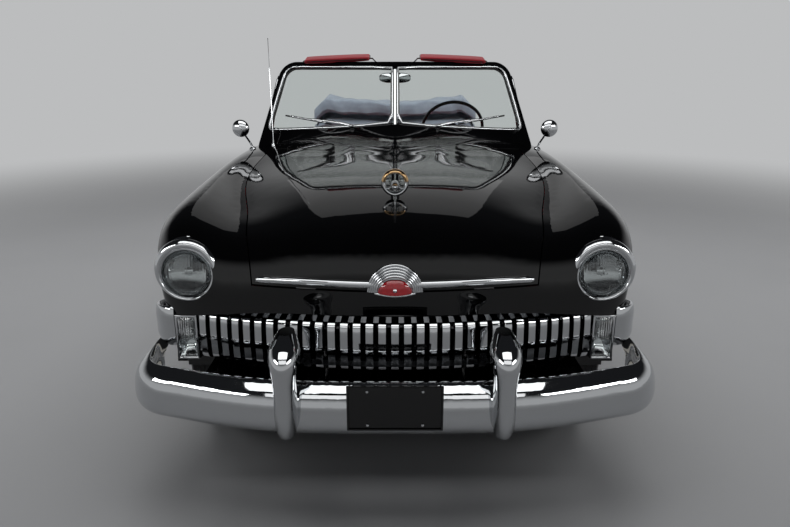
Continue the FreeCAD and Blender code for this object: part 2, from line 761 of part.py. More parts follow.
def bent_bar(spots, side):
    """A flat bar through the spots, rounded at each of them."""
    bars = []
    for first, second in zip(spots, spots[1:]):
        along = (second - first).normalize()
        across = vector(0, -along.z, along.y) * car.link_half_height
        corners = [first + across, second + across, second - across, first - across]
        bars.append(Part.Face(Part.makePolygon(corners + corners[:1])).extrude(vector(car.link_thick, 0, 0)))
    bars += [Part.makeCylinder(car.link_half_height, car.link_thick, spot, vector(1, 0, 0)) for spot in spots]
    bar = bars[0].multiFuse(bars[1:])
    bar.translate(vector(side - car.link_thick, 0, 0))
    return bar


def gooseneck(pin_y, pin_z, side, reach, bend_shares):
    """A link from its pin to the underside of the panel that it carries."""
    spots = [vector(0, pin_y + along_share * reach, pin_z + up_share * reach)
             for along_share, up_share in bend_shares]
    spots[-1].z = surface_height(side, spots[-1].y) - car.skin - car.link_half_height / 2
    pin_length = 3 * car.link_thick
    pin_start = vector(side - car.link_thick, pin_y, pin_z)
    pin = Part.makeCylinder(car.pin_radius, pin_length, pin_start, vector(1, 0, 0))
    return bent_bar(spots, side).fuse(pin)


def pin_bracket(pin_y, pin_z, side, y_range, z_range):
    """A plate beside the link with a bore for its pin."""
    start = side + car.pin_gap
    plate = solid_box((start, start + car.link_thick), y_range, z_range)
    bore = Part.makeCylinder(car.pin_radius + car.pin_gap, wide, vector(0, pin_y, pin_z), vector(1, 0, 0))
    return plate.cut(bore)


hood_pin_y = -car.hood_hinge_place
hood_pin_z = car.belt_height + car.hood_hinge_rise
hood_link = gooseneck(hood_pin_y, hood_pin_z, car.hood_hinge_side, car.hood_link_reach, hood_link_shares)
firewall_back = -car.firewall_place + car.skin
hood_bracket = pin_bracket(hood_pin_y, hood_pin_z, car.hood_hinge_side,
                           (firewall_back - car.skin / 2, hood_pin_y + 2 * car.pin_radius),
                           (hood_pin_z - 2 * car.pin_radius, hood_pin_z + 2 * car.pin_radius))
lid_pin_y = half_length - car.lid_hinge_setback
lid_pin_z = car.belt_height - car.lid_hinge_drop
lid_link = gooseneck(lid_pin_y, lid_pin_z, car.lid_hinge_side, car.lid_link_reach, lid_link_shares)
lid_bracket_top = surface_height(car.lid_hinge_side, lid_pin_y) - car.skin / 2
lid_bracket = pin_bracket(lid_pin_y, lid_pin_z, car.lid_hinge_side,
                          (lid_pin_y - 2 * car.pin_radius, lid_pin_y + 2 * car.pin_radius),
                          (lid_pin_z - 2 * car.pin_radius, lid_bracket_top))


# Firewall, under the cowl

firewall_solid = under_surface((0.3, 0.45), (0.3, 0.7), car.panel_gap + car.skin, car.belt_height)
firewall_solid = firewall_solid.common(solid_box(
    (-dash_half_width, dash_half_width),
    (-car.firewall_place, -car.firewall_place + car.skin),
    (floor_low, tall)))
pads = under_surface((0.3, 0.45), (0.3, 0.7), car.seat_gap + car.skin, car.belt_height)
pads = pads.common(solid_box((pad_place, pad_place + car.pad_width),
                             (-car.firewall_place, -car.firewall_place + car.skin),
                             (car.engine_bottom + car.engine_height, tall)))
slot = solid_box((car.hood_hinge_side - car.link_thick - car.swing_gap, car.hood_hinge_side + car.pin_gap),
                 (-car.firewall_place - car.skin, firewall_back + car.skin),
                 (hood_pin_z - car.hood_link_reach, hood_pin_z + car.swing_gap))
firewall_solid = firewall_solid.cut(slot).cut(mirror_copy(slot))
firewall_solid = firewall_solid.multiFuse([pads, mirror_copy(pads), hood_bracket, mirror_copy(hood_bracket)])
keep(shaped("firewall", firewall_solid), "firewall")


# Outer panels

def cowl_prism(gap):
    """Plan outline between the hood and the windshield: straight ahead, drawn back at the sides."""
    wing = cowl_wing
    corner = cowl_corner
    front = -car.cowl_reach - gap
    back = -(car.door_front + car.door_gap)
    points = [(-corner, back), (-corner, back - car.horn_setback - gap), (-wing, front),
              (wing, front), (corner, back - car.horn_setback - gap), (corner, back)]
    wire = Part.makePolygon([vector(x, y, 0) for x, y in points + points[:1]])
    return Part.Face(wire).extrude(vector(0, 0, tall))


nose_solid = skin_panel((0, lip_share - 0.6 * lip_gap_share), (1 - seam_share, seam_share), car.skin)
keep(shaped("nose_panel", nose_solid), "nose_panel")

hood_solid = skin_panel((lip_share + 0.6 * lip_gap_share, 0.43),
                        (1 - seam_share + gap_share, seam_share - gap_share), car.skin)
hood_solid = hood_solid.cut(cowl_prism(car.panel_gap))
keep(shaped("hood", hood_solid.multiFuse([hood_link, mirror_copy(hood_link)])), "hood")

cowl_solid = skin_panel((0.3, 0.45), (1 - seam_share, seam_share), car.skin)
keep(shaped("cowl", cowl_solid.common(cowl_prism(0))), "cowl")


def arch_tool(axle, radius, centre_height, side):
    start = vector(side * half_width / 2, axle, centre_height)
    return Part.makeCylinder(radius, half_width, start, vector(side, 0, 0))


def front_fender():
    solid = skin_panel((0, 0.45), (seam_share, 1), car.skin)
    solid = solid.cut(solid_box((0, 2 * wide), (door_start - car.door_gap, half_length), (0, tall)))
    solid = solid.cut(arch_tool(front_axle, car.arch_front_radius, car.tyre_radius, 1))
    solid = solid.cut(solid_box((0, 2 * wide), (front_axle, half_length), (0, car.door_bottom)))
    lamp_hole = Part.makeCylinder(car.lens_radius + car.skin, half_length / 2,
                                  vector(lamp_centre, -half_length, lamp_height),
                                  vector(0, 1, 0))
    front_half = solid_box((0, wide), (-half_length, front_axle - car.arch_front_radius / 2), (0, tall))
    return solid.cut(lamp_hole.common(front_half))


fender = front_fender()
fender_room = skin_panel((0, 0.45), (seam_share, 1), car.skin + car.seat_gap)
keep(shaped("front_fenders", Part.makeCompound([fender, mirror_copy(fender)])), "front_fenders")


def quarter_panel():
    beside = skin_panel((0.58, 0.775), (well_share, 1), car.skin)
    behind = skin_panel((0.77, 1), (deck_share, 1), car.skin)
    solid = beside.fuse(behind)
    solid = solid.cut(solid_box((0, 2 * wide), (-half_length, door_end + car.door_gap), (0, tall)))
    solid = solid.cut(solid_box((0, 2 * wide), (-half_length, rear_axle), (0, car.door_bottom)))
    bumper_end = half_length - car.guard_reach - car.bumper_wrap - 2 * car.clearance
    bumper_height = car.bumper_top + car.clearance
    solid = solid.cut(solid_box((0, 2 * wide), (bumper_end, half_length), (0, bumper_height)))
    arch_height = car.tyre_radius - car.arch_rear_drop
    return solid.cut(arch_tool(rear_axle, car.arch_rear_radius, arch_height, 1))


quarter = quarter_panel()
keep(shaped("quarter_panels", Part.makeCompound([quarter, mirror_copy(quarter)])), "quarter_panels")

deck_rows_share = (0.77, 0.79)
deck_solid = skin_panel(deck_rows_share, (1 - deck_share, deck_share), car.skin)
rest_face = patch((deck_rows_share[1] - 2 * deck_gap_share, deck_rows_share[1] + 4 * deck_gap_share),
                  (1 - deck_share + 5 * gap_share, deck_share - 5 * gap_share))
rest_face = rest_face.makeOffsetShape(car.skin + car.seat_gap, offset_tolerance_share * car.skin)
lid_rest = rest_face.makeOffsetShape(car.skin / 2, offset_tolerance_share * car.skin, fill=True)
deck_solid = deck_solid.multiFuse([lid_bracket, mirror_copy(lid_bracket)])
keep(shaped("rear_deck", Part.makeCompound([deck_solid, lid_rest])), "rear_deck")

lid_solid = skin_panel((deck_rows_share[1] + deck_gap_share, 0.985),
                       (1 - deck_share + gap_share, deck_share - gap_share), car.skin)
keep(shaped("trunk_lid", lid_solid.multiFuse([lid_link, mirror_copy(lid_link)])), "trunk_lid")

tail_strip = skin_panel((0.985 + 1.5 * skirt_gap_share, 1), (1 - deck_share, deck_share), car.skin)
keep(shaped("tail_panel", tail_strip), "tail_panel")


# Doors

def door_solid():
    face = patch(cabin_rows_share, (door_top_share, 1))
    slab = face.extrude(vector(-car.door_thick, 0, 0))
    return slab.common(solid_box((0, 2 * wide), (door_start, door_end), (car.door_bottom, tall)))


hinge_spot = vector(half_width - car.hinge_inset, door_start + car.hinge_setback, 0)
strap_levels = (car.hinge_low, car.hinge_high)


def hinge_strap(low):
    """A bent strap from the hinge post round to the pin, with the pin standing in its eye."""
    high = low + car.strap_height
    inner = hinge_spot.x - car.strap_reach - car.strap_thick / 2
    foot = door_start - car.door_gap - car.post_depth / 2
    half = car.strap_thick / 2
    arm = solid_box((inner, hinge_spot.x), (hinge_spot.y - half, hinge_spot.y + half), (low, high))
    leg = solid_box((inner, inner + car.strap_thick), (foot, hinge_spot.y + half), (low, high))
    toe = solid_box((inner, hinge_spot.x - car.strap_reach / 3), (foot, foot + car.strap_thick), (low, high))
    start = hinge_spot + vector(0, 0, low)
    eye = Part.makeCylinder(car.eye_radius, car.strap_height, start)
    pin = Part.makeCylinder(car.pin_radius, 2 * car.strap_height, start - vector(0, 0, car.strap_height / 2))
    return arm.multiFuse([leg, toe, eye, pin])


def hinge_pocket(low):
    """Room in the door for one strap through the whole swing, with the bore for its pin."""
    swing = FreeCAD.Rotation(vector(0, 0, 1), car.door_swing)
    room = car.strap_thick / 2 + car.swing_gap
    arm_way = swing.multVec(vector(-1, 0, 0))
    leg_way = swing.multVec(vector(0, -1, 0))
    start = hinge_spot + vector(0, 0, low - car.swing_gap)
    near = start + leg_way * room
    bend = start + arm_way * (car.strap_reach - room) + leg_way * room
    corners = [start + vector(0, room, 0), near, bend, bend + leg_way * half_width,
               start + vector(-half_width, -half_width, 0), start + vector(-half_width, room, 0)]
    height = vector(0, 0, car.strap_height + 2 * car.swing_gap)
    room_solid = Part.Face(Part.makePolygon(corners + corners[:1])).extrude(height)
    around_eye = Part.makeCylinder(car.eye_radius + car.swing_gap, height.z, start)
    bore = Part.makeCylinder(car.pin_radius + car.pin_gap, 2 * car.strap_height + 2 * car.swing_gap,
                             start - vector(0, 0, car.strap_height / 2))
    return room_solid.multiFuse([around_eye, bore])


door = door_solid()
for level in strap_levels:
    door = door.cut(hinge_pocket(level))
keep(shaped("door_left", door), "door_left")
keep(shaped("door_right", mirror_copy(door)), "door_right")


# Sills under the doors

sill_run = (f"{front_axle_place} + car.arch_front_radius + car.clearance",
            f"{rear_axle_place} - car.arch_rear_radius - car.clearance")
sill_inner = "((car.body_width / 2 - car.floor_inset) + car.seat_gap)"
sill_rocker = box("sill_rocker", (sill_inner, "car.body_width / 2 - 8 * car.skin"), sill_run,
                  ("car.sill_top - car.sill_depth", "car.sill_top"))
flange_run = ("-car.door_front + 2 * car.hinge_setback + car.clearance", sill_run[1])
sill_flange = box("sill_flange", (sill_inner, f"{sill_inner} + 3 * car.clearance"), flange_run,
                  ("car.sill_top - car.sill_depth", floor_top_place))
keep(both_sides("sills", joined("sill", [sill_rocker, sill_flange])), "sills")


# Wheels and tyres

# Shares of the half width: the flat of the tread, the drop of the shoulder and its spread.
tread_share = 0.66
shoulder_drop_share = 0.12
shoulder_spread_share = 0.14
# Where the side wall is widest, as a share of its height.
bulge_place_share = 0.45


def tyre_outline():
    bead = car.rim_radius + car.seat_gap
    half = car.tyre_width / 2
    bead_half = car.rim_width / 2 - car.skin
    tread_half = tread_share * half
    bulge = bead + bulge_place_share * (car.tyre_radius - bead)
    shoulder = car.tyre_radius - shoulder_drop_share * half
    shoulder_half = tread_half + shoulder_spread_share * half
    outline = [(bead, -bead_half), (bulge, -half), (shoulder, -shoulder_half),
               (car.tyre_radius, -tread_half), (car.tyre_radius, tread_half),
               (shoulder, shoulder_half), (bulge, half), (bead, bead_half)]
    return outline


# The cover's step and crown: shares of the rim's radius and of the cover's rise.
cover_step_share = (0.72, 0.5)
cover_crown_share = 0.3


def wheel_outline(side):
    rim = car.rim_radius
    half = car.rim_width / 2
    lip = 2 * car.skin
    bore = car.spindle_radius + car.bore_gap
    face = half - lip
    points = [(bore, -half / 4), (car.hub_radius, -half / 4), (car.hub_radius, face - 3 * lip),
              (rim - 2 * lip, face - 2 * lip), (rim - lip, -half), (rim, -half), (rim, half),
              (rim - lip, half + car.skin),
              (cover_step_share[0] * rim, half + cover_step_share[1] * car.cover_rise),
              (cover_crown_share * rim, half + car.cover_rise), (bore, half + car.cover_rise)]
    return [(radius, side * across) for radius, across in points]


wheel_places = {
    "front_left": (1, "car.front_track / 2", front_axle_place),
    "front_right": (-1, "-car.front_track / 2", front_axle_place),
    "rear_left": (1, "car.rear_track / 2", rear_axle_place),
    "rear_right": (-1, "-car.rear_track / 2", rear_axle_place),
}
for wheel_name, (side, across, along) in wheel_places.items():
    places = {"x": across, "y": along, "z": "car.tyre_radius"}
    keep(turned_body(f"tyre_{wheel_name}", tyre_outline(), places), f"tyre_{wheel_name}")
    keep(turned_body(f"wheel_{wheel_name}", wheel_outline(side), places), f"wheel_{wheel_name}")


# Steering knuckles with their spindles

spindle_reach = "(car.kingpin_inset + car.rim_width / 2)"
kingpin_place = "(car.front_track / 2 - car.kingpin_inset)"
for side_name, side in (("left", ""), ("right", "-")):
    pin = rod(f"kingpin_{side_name}", "car.kingpin_radius", "2 * car.kingpin_half", "z",
              (f"{side}{kingpin_place}", front_axle_place, "car.tyre_radius - car.kingpin_half"))
    start = kingpin_place if side_name == "left" else f"-{kingpin_place} - {spindle_reach}"
    spindle = rod(f"spindle_{side_name}", "car.spindle_radius", spindle_reach, "x",
                  (start, front_axle_place, "car.tyre_radius"))
    keep(joined(f"knuckle_{side_name}", [pin, spindle]), f"knuckle_{side_name}")


# Front suspension: crossmember, arms and ball joints

joint_low = "(car.tyre_radius - car.kingpin_half - car.seat_gap)"
joint_high = "(car.tyre_radius + car.kingpin_half + car.seat_gap)"
lower_ball = rod("lower_ball", "car.ball_joint_radius", "car.ball_joint_height", "z",
                 (kingpin_place, front_axle_place, f"{joint_low} - car.ball_joint_height"))
upper_ball = rod("upper_ball", "car.ball_joint_radius", "car.ball_joint_height", "z",
                 (kingpin_place, front_axle_place, joint_high))
arm_y = (f"{front_axle_place} - car.arm_half_width", f"{front_axle_place} + car.arm_half_width")
lower_arm = box("lower_arm", ("car.rail_centre / 2", kingpin_place), arm_y,
                (f"{joint_low} - car.arm_thick", joint_low))
upper_arm = box("upper_arm", (outer_rail, kingpin_place), arm_y,
                (joint_high, f"{joint_high} + car.arm_thick"))
tower = box("spring_tower", (f"{outer_rail} + car.seat_gap", f"{outer_rail} + car.arm_half_width"),
            (f"{front_axle_place} - 2 * car.arm_half_width", f"{front_axle_place} + 2 * car.arm_half_width"),
            (f"{joint_low} - car.arm_thick", f"{joint_high} + car.arm_thick"))
front_cross_beam = box("front_cross_beam", ("-car.rail_centre", "car.rail_centre"),
                       (f"{front_axle_place} - 2 * car.arm_half_width",
                        f"{front_axle_place} + 2 * car.arm_half_width"),
                       (f"car.rail_bottom - car.seat_gap - car.crossmember_depth",
                        "car.rail_bottom - car.seat_gap"))
half_suspension = joined("half_suspension", [lower_ball, upper_ball, lower_arm, upper_arm, tower])
keep(joined("front_suspension", [half_suspension, mirrored("half_suspension_mirror", half_suspension),
                                 front_cross_beam]), "front_suspension")


# Rear axle with springs and propeller shaft

axle_end = "(car.rear_track / 2 - car.rim_width / 8)"
axle_tube = rod("axle_tube", "car.axle_tube_radius", f"2 * ({axle_end} - car.clearance)", "x",
                (f"-({axle_end} - car.clearance)", rear_axle_place, "car.tyre_radius"))
axle_shaft = rod("axle_shaft", "car.spindle_radius", "car.rear_track + car.rim_width", "x",
                 ("-(car.rear_track + car.rim_width) / 2", rear_axle_place, "car.tyre_radius"))
differential = doc.addObject("Part::Sphere", "differential")
differential.setExpression("Radius", "car.differential_radius")
differential.setExpression("Placement.Base.y", rear_axle_place)
differential.setExpression("Placement.Base.z", "car.tyre_radius")
propshaft = rod("propshaft", "car.propshaft_radius", "car.wheel_base - car.engine_length", "y",
                ("0", f"{rear_axle_place} - car.wheel_base + car.engine_length", "car.tyre_radius"))
spring = box("spring",
             ("car.spring_centre - car.spring_width / 2", "car.spring_centre + car.spring_width / 2"),
             (f"{rear_axle_place} - car.spring_half_length", f"{rear_axle_place} + car.spring_half_length"),
             (spring_low, spring_top))
keep(joined("rear_axle", [axle_tube, axle_shaft, differential, propshaft, spring,
                          mirrored("spring_mirror", spring)]), "rear_axle")


# Wheelhouses

def wheelhouse(axle, inner_x, outer_x, closed):
    outer = car.wheelhouse_radius + car.skin
    start = vector(inner_x, axle, car.tyre_radius)
    across = vector(1, 0, 0)
    shell = Part.makeCylinder(outer, outer_x - inner_x, start, across)
    hollow_start = vector(inner_x + (car.skin if closed else -car.skin), axle, car.tyre_radius)
    hollow = Part.makeCylinder(car.wheelhouse_radius, outer_x, hollow_start, across)
    above = solid_box((0, wide), (axle - 2 * outer, axle + 2 * outer),
                      (floor_low + car.floor_thick + car.seat_gap, tall))
    return shell.cut(hollow).common(above)


front_house = wheelhouse(front_axle, car.rail_centre + 2 * car.rail_width, half_width, False)
inside_front = under_surface((0.02, 0.48), (0.6, 1), car.skin + car.seat_gap, car.belt_height)
bumper_room = solid_box((front_wheel_x + car.tyre_width / 2, wide),
                        (-half_length, -bumper_front + car.bumper_wrap + 2 * car.clearance),
                        (0, car.bumper_top + car.clearance))
front_house = front_house.common(inside_front).cut(bumper_room).cut(fender_room)
rear_inner = rear_wheel_x - car.tyre_width / 2 - 4 * car.clearance
rear_house = wheelhouse(rear_axle, rear_inner, half_width, True)
inside_rear = under_surface((0.55, 0.85), (0.6, 1), car.skin + car.seat_gap, car.belt_height)
rear_house = rear_house.common(inside_rear)
keep(shaped("wheelhouses", Part.makeCompound([front_house, mirror_copy(front_house),
                                              rear_house, mirror_copy(rear_house)])), "wheelhouses")


# Engine and radiator

keep(box("engine_block", ("-car.engine_half_width", "car.engine_half_width"),
         (engine_start, f"{engine_start} + car.engine_length"),
         ("car.engine_bottom", "car.engine_bottom + car.engine_height")), "engine_block")
keep(box("radiator", ("-car.radiator_half_width", "car.radiator_half_width"),
         (f"{radiator_start}", f"{radiator_start} + car.radiator_thick"),
         (f"{cross_top_place} + car.seat_gap", f"{rail_top_place} + car.radiator_height")), "radiator")


# Exhaust and fuel tank

exhaust_x = "(car.rail_centre - car.rail_width / 2 - 3 * car.exhaust_radius)"
pipe_length = "car.wheel_base - car.spring_half_length - car.engine_length"
pipe = rod("exhaust_pipe", "car.exhaust_radius", pipe_length, "y",
           (exhaust_x, f"{front_axle_place} + car.engine_length",
            "car.rail_bottom - car.exhaust_radius - car.seat_gap"))
muffler_start = f"{front_axle_place} + car.wheel_base / 2 + 2 * car.rail_width"
muffler = rod("muffler", "car.muffler_radius", "car.engine_length", "y",
              (f"{exhaust_x} - car.muffler_radius", muffler_start,
               "car.rail_bottom - car.seat_gap - car.muffler_radius"))
keep(joined("exhaust", [pipe, muffler]), "exhaust")
tank_start = f"({rear_axle_place} + car.spring_half_length + 2 * car.rail_width)"
keep(box("fuel_tank", ("-car.tank_half_width", "car.tank_half_width"),
         (tank_start, f"{tank_start} + car.tank_length"),
         (f"{floor_low_place} + car.rear_floor_rise - car.seat_gap - car.tank_height",
          f"{floor_low_place} + car.rear_floor_rise - car.seat_gap")), "fuel_tank")


# Headlamps

def lamp_turn(points):
    """A closed outline of (radius, depth behind the face) turned about the lamp's own axis."""
    line = [vector(lamp_centre + radius, -lamp_face + depth, lamp_height)
            for radius, depth in points]
    face = Part.Face(Part.makePolygon(line + line[:1]))
    solid = face.revolve(vector(lamp_centre, 0, lamp_height), vector(0, 1, 0), 360)
    return solid


def lamp_ring(radius, lift, depth):
    centre = vector(lamp_centre, -lamp_face + depth, lamp_height + lift)
    return Part.Wire([Part.Circle(centre, vector(0, 1, 0), radius).toShape()])


# Rings of the rim from the back to the front: share of the width of the band, of the lift and of the brow.
rim_ring_shares = [(1.00, 1.00, 1.50), (1.00, 1.00, 0.30), (0.86, 0.90, -0.30), (0.50, 0.60, -0.55),
                   (0.12, 0.15, -0.35)]


def lamp_rim():
    """A crowned chrome ring that is deeper over the lamp than under it."""
    lens_edge = car.lens_radius + car.seat_gap
    band = car.lamp_rim_radius - lens_edge
    rings = []
    for band_share, lift_share, brow_share in rim_ring_shares:
        radius = lens_edge + band_share * band
        rings.append(lamp_ring(radius, lift_share * car.lamp_rim_lift, brow_share * car.lamp_brow))
    solid = Part.makeLoft(rings, True, False)
    bore = Part.makeCylinder(lens_edge, half_length, vector(lamp_centre, -half_length, lamp_height),
                             vector(0, 1, 0))
    bucket_edge = lens_edge + car.skin / 2
    bucket = lamp_turn([(lens_edge, 0), (bucket_edge, 0), (bucket_edge, car.lamp_depth),
                        (lens_edge, car.lamp_depth)])
    return solid.cut(bore).cut(fender_room).fuse(bucket)


rim_solid = lamp_rim()
keep(shaped("headlamp_rims", Part.makeCompound([rim_solid, mirror_copy(rim_solid)])), "headlamp_rims")

# The front of the lens: shares of its radius and of its bulge.
lens_front_shares = [(0, -1.00), (0.50, -0.75), (0.85, 0)]
lens_edge_radius = car.lens_radius - car.seat_gap
lens_points = [(radius_share * car.lens_radius, bulge_share * car.lens_bulge)
               for radius_share, bulge_share in lens_front_shares]
lens_points += [(lens_edge_radius, car.lens_bulge / 4), (lens_edge_radius, car.lens_bulge),
                (0, car.lens_bulge)]
lens_solid = lamp_turn(lens_points)
keep(shaped("headlamp_lenses", Part.makeCompound([lens_solid, mirror_copy(lens_solid)])), "headlamp_lenses")


# Grille: teeth on two carriers that follow an arc in plan

teeth_each_side = 16
lamp_outer = parking_lamp_centre + car.parking_lamp_width / 2
lamp_inner = parking_lamp_centre - car.parking_lamp_width / 2
grille_half = lamp_inner - car.grille_end_gap
tooth_pitch = grille_half / teeth_each_side
grille_radius = (grille_half ** 2 + car.grille_sweep ** 2) / (2 * car.grille_sweep)
grille_centre = vector(0, grille_radius - grille_front, 0)


# The tooth's face seen from the side: share of its depth, share of its height.
tooth_face_shares = [(1.00, 0.00), (0.42, 0.01), (0.12, 0.08), (0.03, 0.25), (0.00, 0.50), (0.04, 0.78),
                     (0.16, 0.93), (0.45, 0.99), (1.00, 1.00)]


def tooth():
    """One tooth seen from the side is a C that is open to the rear."""
    front = -grille_front
    back = front + car.tooth_depth
    height = grille_top - grille_bottom
    thick = car.tooth_thick
    face_curve = Part.BSplineCurve()
    face_points = [vector(0, front + depth_share * car.tooth_depth, grille_bottom + up_share * height)
                   for depth_share, up_share in tooth_face_shares]
    face_curve.interpolate(Points=face_points)
    inner = [vector(0, back, grille_top), vector(0, back, grille_top - thick),
             vector(0, front + thick, grille_top - 2 * thick),
             vector(0, front + thick, grille_bottom + 2 * thick),
             vector(0, back, grille_bottom + thick), vector(0, back, grille_bottom)]
    inner_edges = [Part.makeLine(first, second) for first, second in zip(inner, inner[1:])]
    solid = Part.Face(Part.Wire([face_curve.toShape()] + inner_edges)).extrude(vector(car.tooth_width, 0, 0))
    solid.translate(vector(-car.tooth_width / 2, 0, 0))
    return solid


def arc_bar(depth, low, high, reach):
    """A flat bar between two heights that follows the grille's arc."""
    front = -grille_front + depth
    turn = math.degrees(reach / grille_radius)
    points = [vector(0, front, low), vector(0, front + car.carrier_thick, low),
              vector(0, front + car.carrier_thick, high), vector(0, front, high)]
    face = Part.Face(Part.makePolygon(points + points[:1]))
    face.rotate(grille_centre, vector(0, 0, 1), -turn)
    return face.revolve(grille_centre, vector(0, 0, 1), 2 * turn)


bar_depth = car.tooth_depth - car.carrier_thick / 4
bar_reach = grille_half + car.tooth_width
grille_parts = [arc_bar(bar_depth, grille_bottom, grille_bottom + car.tooth_thick, bar_reach),
                arc_bar(bar_depth, grille_top - car.tooth_thick, grille_top, bar_reach)]
tooth_solid = tooth()
for index in range(-teeth_each_side, teeth_each_side + 1):
    copy = tooth_solid.copy()
    copy.rotate(grille_centre, vector(0, 0, 1), math.degrees(index * tooth_pitch / grille_radius))
    grille_parts.append(copy)
grille_solid = grille_parts[0].multiFuse(grille_parts[1:])
keep(shaped("grille_bar", grille_solid), "grille_bar")

cavity_back = -grille_front + car.tooth_depth + 2 * car.carrier_thick + car.grille_sweep


def grille_bracket(side):
    x = side * car.guard_centre
    block = solid_box((x - car.carrier_thick / 2, x + car.carrier_thick / 2),
                      (-grille_front + 2 * car.carrier_thick, cavity_back + car.skin / 2),
                      (grille_bottom, grille_bottom + car.tooth_thick))
    return max(block.cut(grille_solid).Solids, key=lambda solid: solid.CenterOfMass.y)


def lamp_bracket(side):
    x_range = sorted((side * lamp_inner, side * lamp_outer))
    return solid_box(x_range, (-parking_lamp_face + car.tooth_depth + car.seat_gap, cavity_back),
                     (grille_bottom + car.clearance, grille_top - 3 * car.clearance))


cavity = solid_box((-lamp_outer, lamp_outer), (cavity_back, cavity_back + car.skin), (floor_low, grille_top))
gravel_pan = solid_box((-grille_half, grille_half),
                       (-grille_front + car.carrier_thick, cavity_back + car.skin),
                       (floor_low, floor_low + car.skin))
surround = cavity.multiFuse([gravel_pan, grille_bracket(1), grille_bracket(-1),
                             lamp_bracket(1), lamp_bracket(-1)])
surround = surround.cut(fender_room).cut(mirror_copy(fender_room))
keep(shaped("grille_surround", surround), "grille_surround")


# Parking lamps at the ends of the grille

lamp_low = "((car.body_width / 2 - car.parking_lamp_inset) - car.parking_lamp_width / 2)"
lamp_high = "((car.body_width / 2 - car.parking_lamp_inset) + car.parking_lamp_width / 2)"
lamp_start = "(car.parking_lamp_setback - car.overall_length / 2)"
parking = box("parking_lamp", (lamp_low, lamp_high), (lamp_start, f"{lamp_start} + car.tooth_depth"),
              ("car.belt_height - car.grille_bottom_drop",
               "car.belt_height - car.grille_top_drop - car.carrier_thick"))
keep(both_sides("parking_lamps", parking), "parking_lamps")


# Chrome ends that carry the grille round the corners of the fenders

# Each station is a share of the width, of the run back, of the drop of its top and of the rise of its bottom.
wrap_plan_shares = [(0.00, 0.00, 0.00, 0.00), (0.48, 0.06, 0.00, 0.00), (0.84, 0.26, 0.03, 0.03),
                    (0.98, 0.58, 0.10, 0.10), (1.00, 1.00, 0.30, 0.24)]
wrap_section_shares = [(0.40, 0.00), (0.06, 0.14), (0.00, 0.50), (0.06, 0.86), (0.40, 1.00), (0.90, 0.92),
                       (1.00, 0.50), (0.90, 0.08)]


def lamp_wrap():
    start = vector(lamp_outer + car.seat_gap, -parking_lamp_face, 0)
    low = car.belt_height - car.wrap_drop
    path = []
    spans = []
    for x_share, back_share, top_share, bottom_share in wrap_plan_shares:
        path.append(start + vector(x_share * car.wrap_width, back_share * car.wrap_length, 0))
        spans.append((low + bottom_share * car.wrap_height, low + (1 - top_share) * car.wrap_height))
    solid = swept_bar(path, spans, car.wrap_thick, wrap_section_shares)
    solid = solid.common(solid_box((start.x, wide), (-half_length, 0), (0, tall))).cut(fender_room)
    return max(solid.Solids, key=lambda piece: piece.Volume)


wrap_solid = lamp_wrap()
keep(shaped("lamp_wraps", Part.makeCompound([wrap_solid, mirror_copy(wrap_solid)])), "lamp_wraps")


# Windshield: two flat panes that meet in a V, in one frame

def windshield_points(skirt):
    base_centre = vector(0, -car.windshield_base_centre, glass_base_centre)
    base_corner = vector(windshield_base_width, -car.windshield_base_corner, glass_base_corner)
    top_corner = vector(windshield_top_width, -car.windshield_top_corner, glass_top)
    across = base_corner - base_centre
    up = top_corner - base_corner
    normal = across.cross(up).normalize()
    level = up.cross(vector(0, 0, 1)).cross(normal)
    rise = glass_top - glass_base_centre
    run = vector(0, normal.z * rise / -normal.y, rise)
    top_centre = base_centre + run
    beyond_top = top_centre + (top_centre - top_corner)
    beyond_base = base_centre + (base_centre - base_corner)
    drop = up.normalize() * skirt
    return [beyond_base - drop, base_corner - drop, top_corner, beyond_top], normal


def windshield_region(skirt, rounding, border):
    points, normal = windshield_points(skirt)
    face = Part.Face(Part.makePolygon(points + points[:1]))
    face = face.makeOffset2D(-rounding, join=2)
    face = face.makeOffset2D(rounding + border, join=0)
    return face, normal


glass_rounding = 2 * car.frame_border
opening_face, pane_normal = windshield_region(0, glass_rounding, 0)
outer_face, pane_normal = windshield_region(4 * car.frame_border, glass_rounding, car.frame_border)
right_half = solid_box((0, 2 * wide), (-half_length, half_length), (0, tall))
beside_divider = solid_box((car.divider_half_width, 2 * wide), (-half_length, half_length), (0, tall))


def thickened(face, normal, thick):
    solid = face.extrude(normal * thick)
    solid.translate(normal * (-thick / 2))
    return solid


frame_half = thickened(outer_face, pane_normal, car.frame_depth).common(right_half)
frame_hole = thickened(opening_face, pane_normal, 2 * car.frame_depth).common(beside_divider)
frame_half = frame_half.cut(frame_hole)
frame_half = frame_half.cut(under_surface((0.3, 0.6), (0.4, 0.8), 0, car.belt_height))
frame_solid = frame_half.fuse(mirror_copy(frame_half))
keep(shaped("windshield_frame", frame_solid), "windshield_frame")

glass_face = opening_face.makeOffset2D(-car.seat_gap)
pane_start = car.divider_half_width + car.seat_gap
pane_edge = solid_box((pane_start, 2 * wide), (-half_length, half_length), (0, tall))
pane = thickened(glass_face, pane_normal, car.glass_thick).common(pane_edge)
keep(shaped("windshield_glass", Part.makeCompound([pane, mirror_copy(pane)])), "windshield_glass")


# Vent windows that stand on the doors

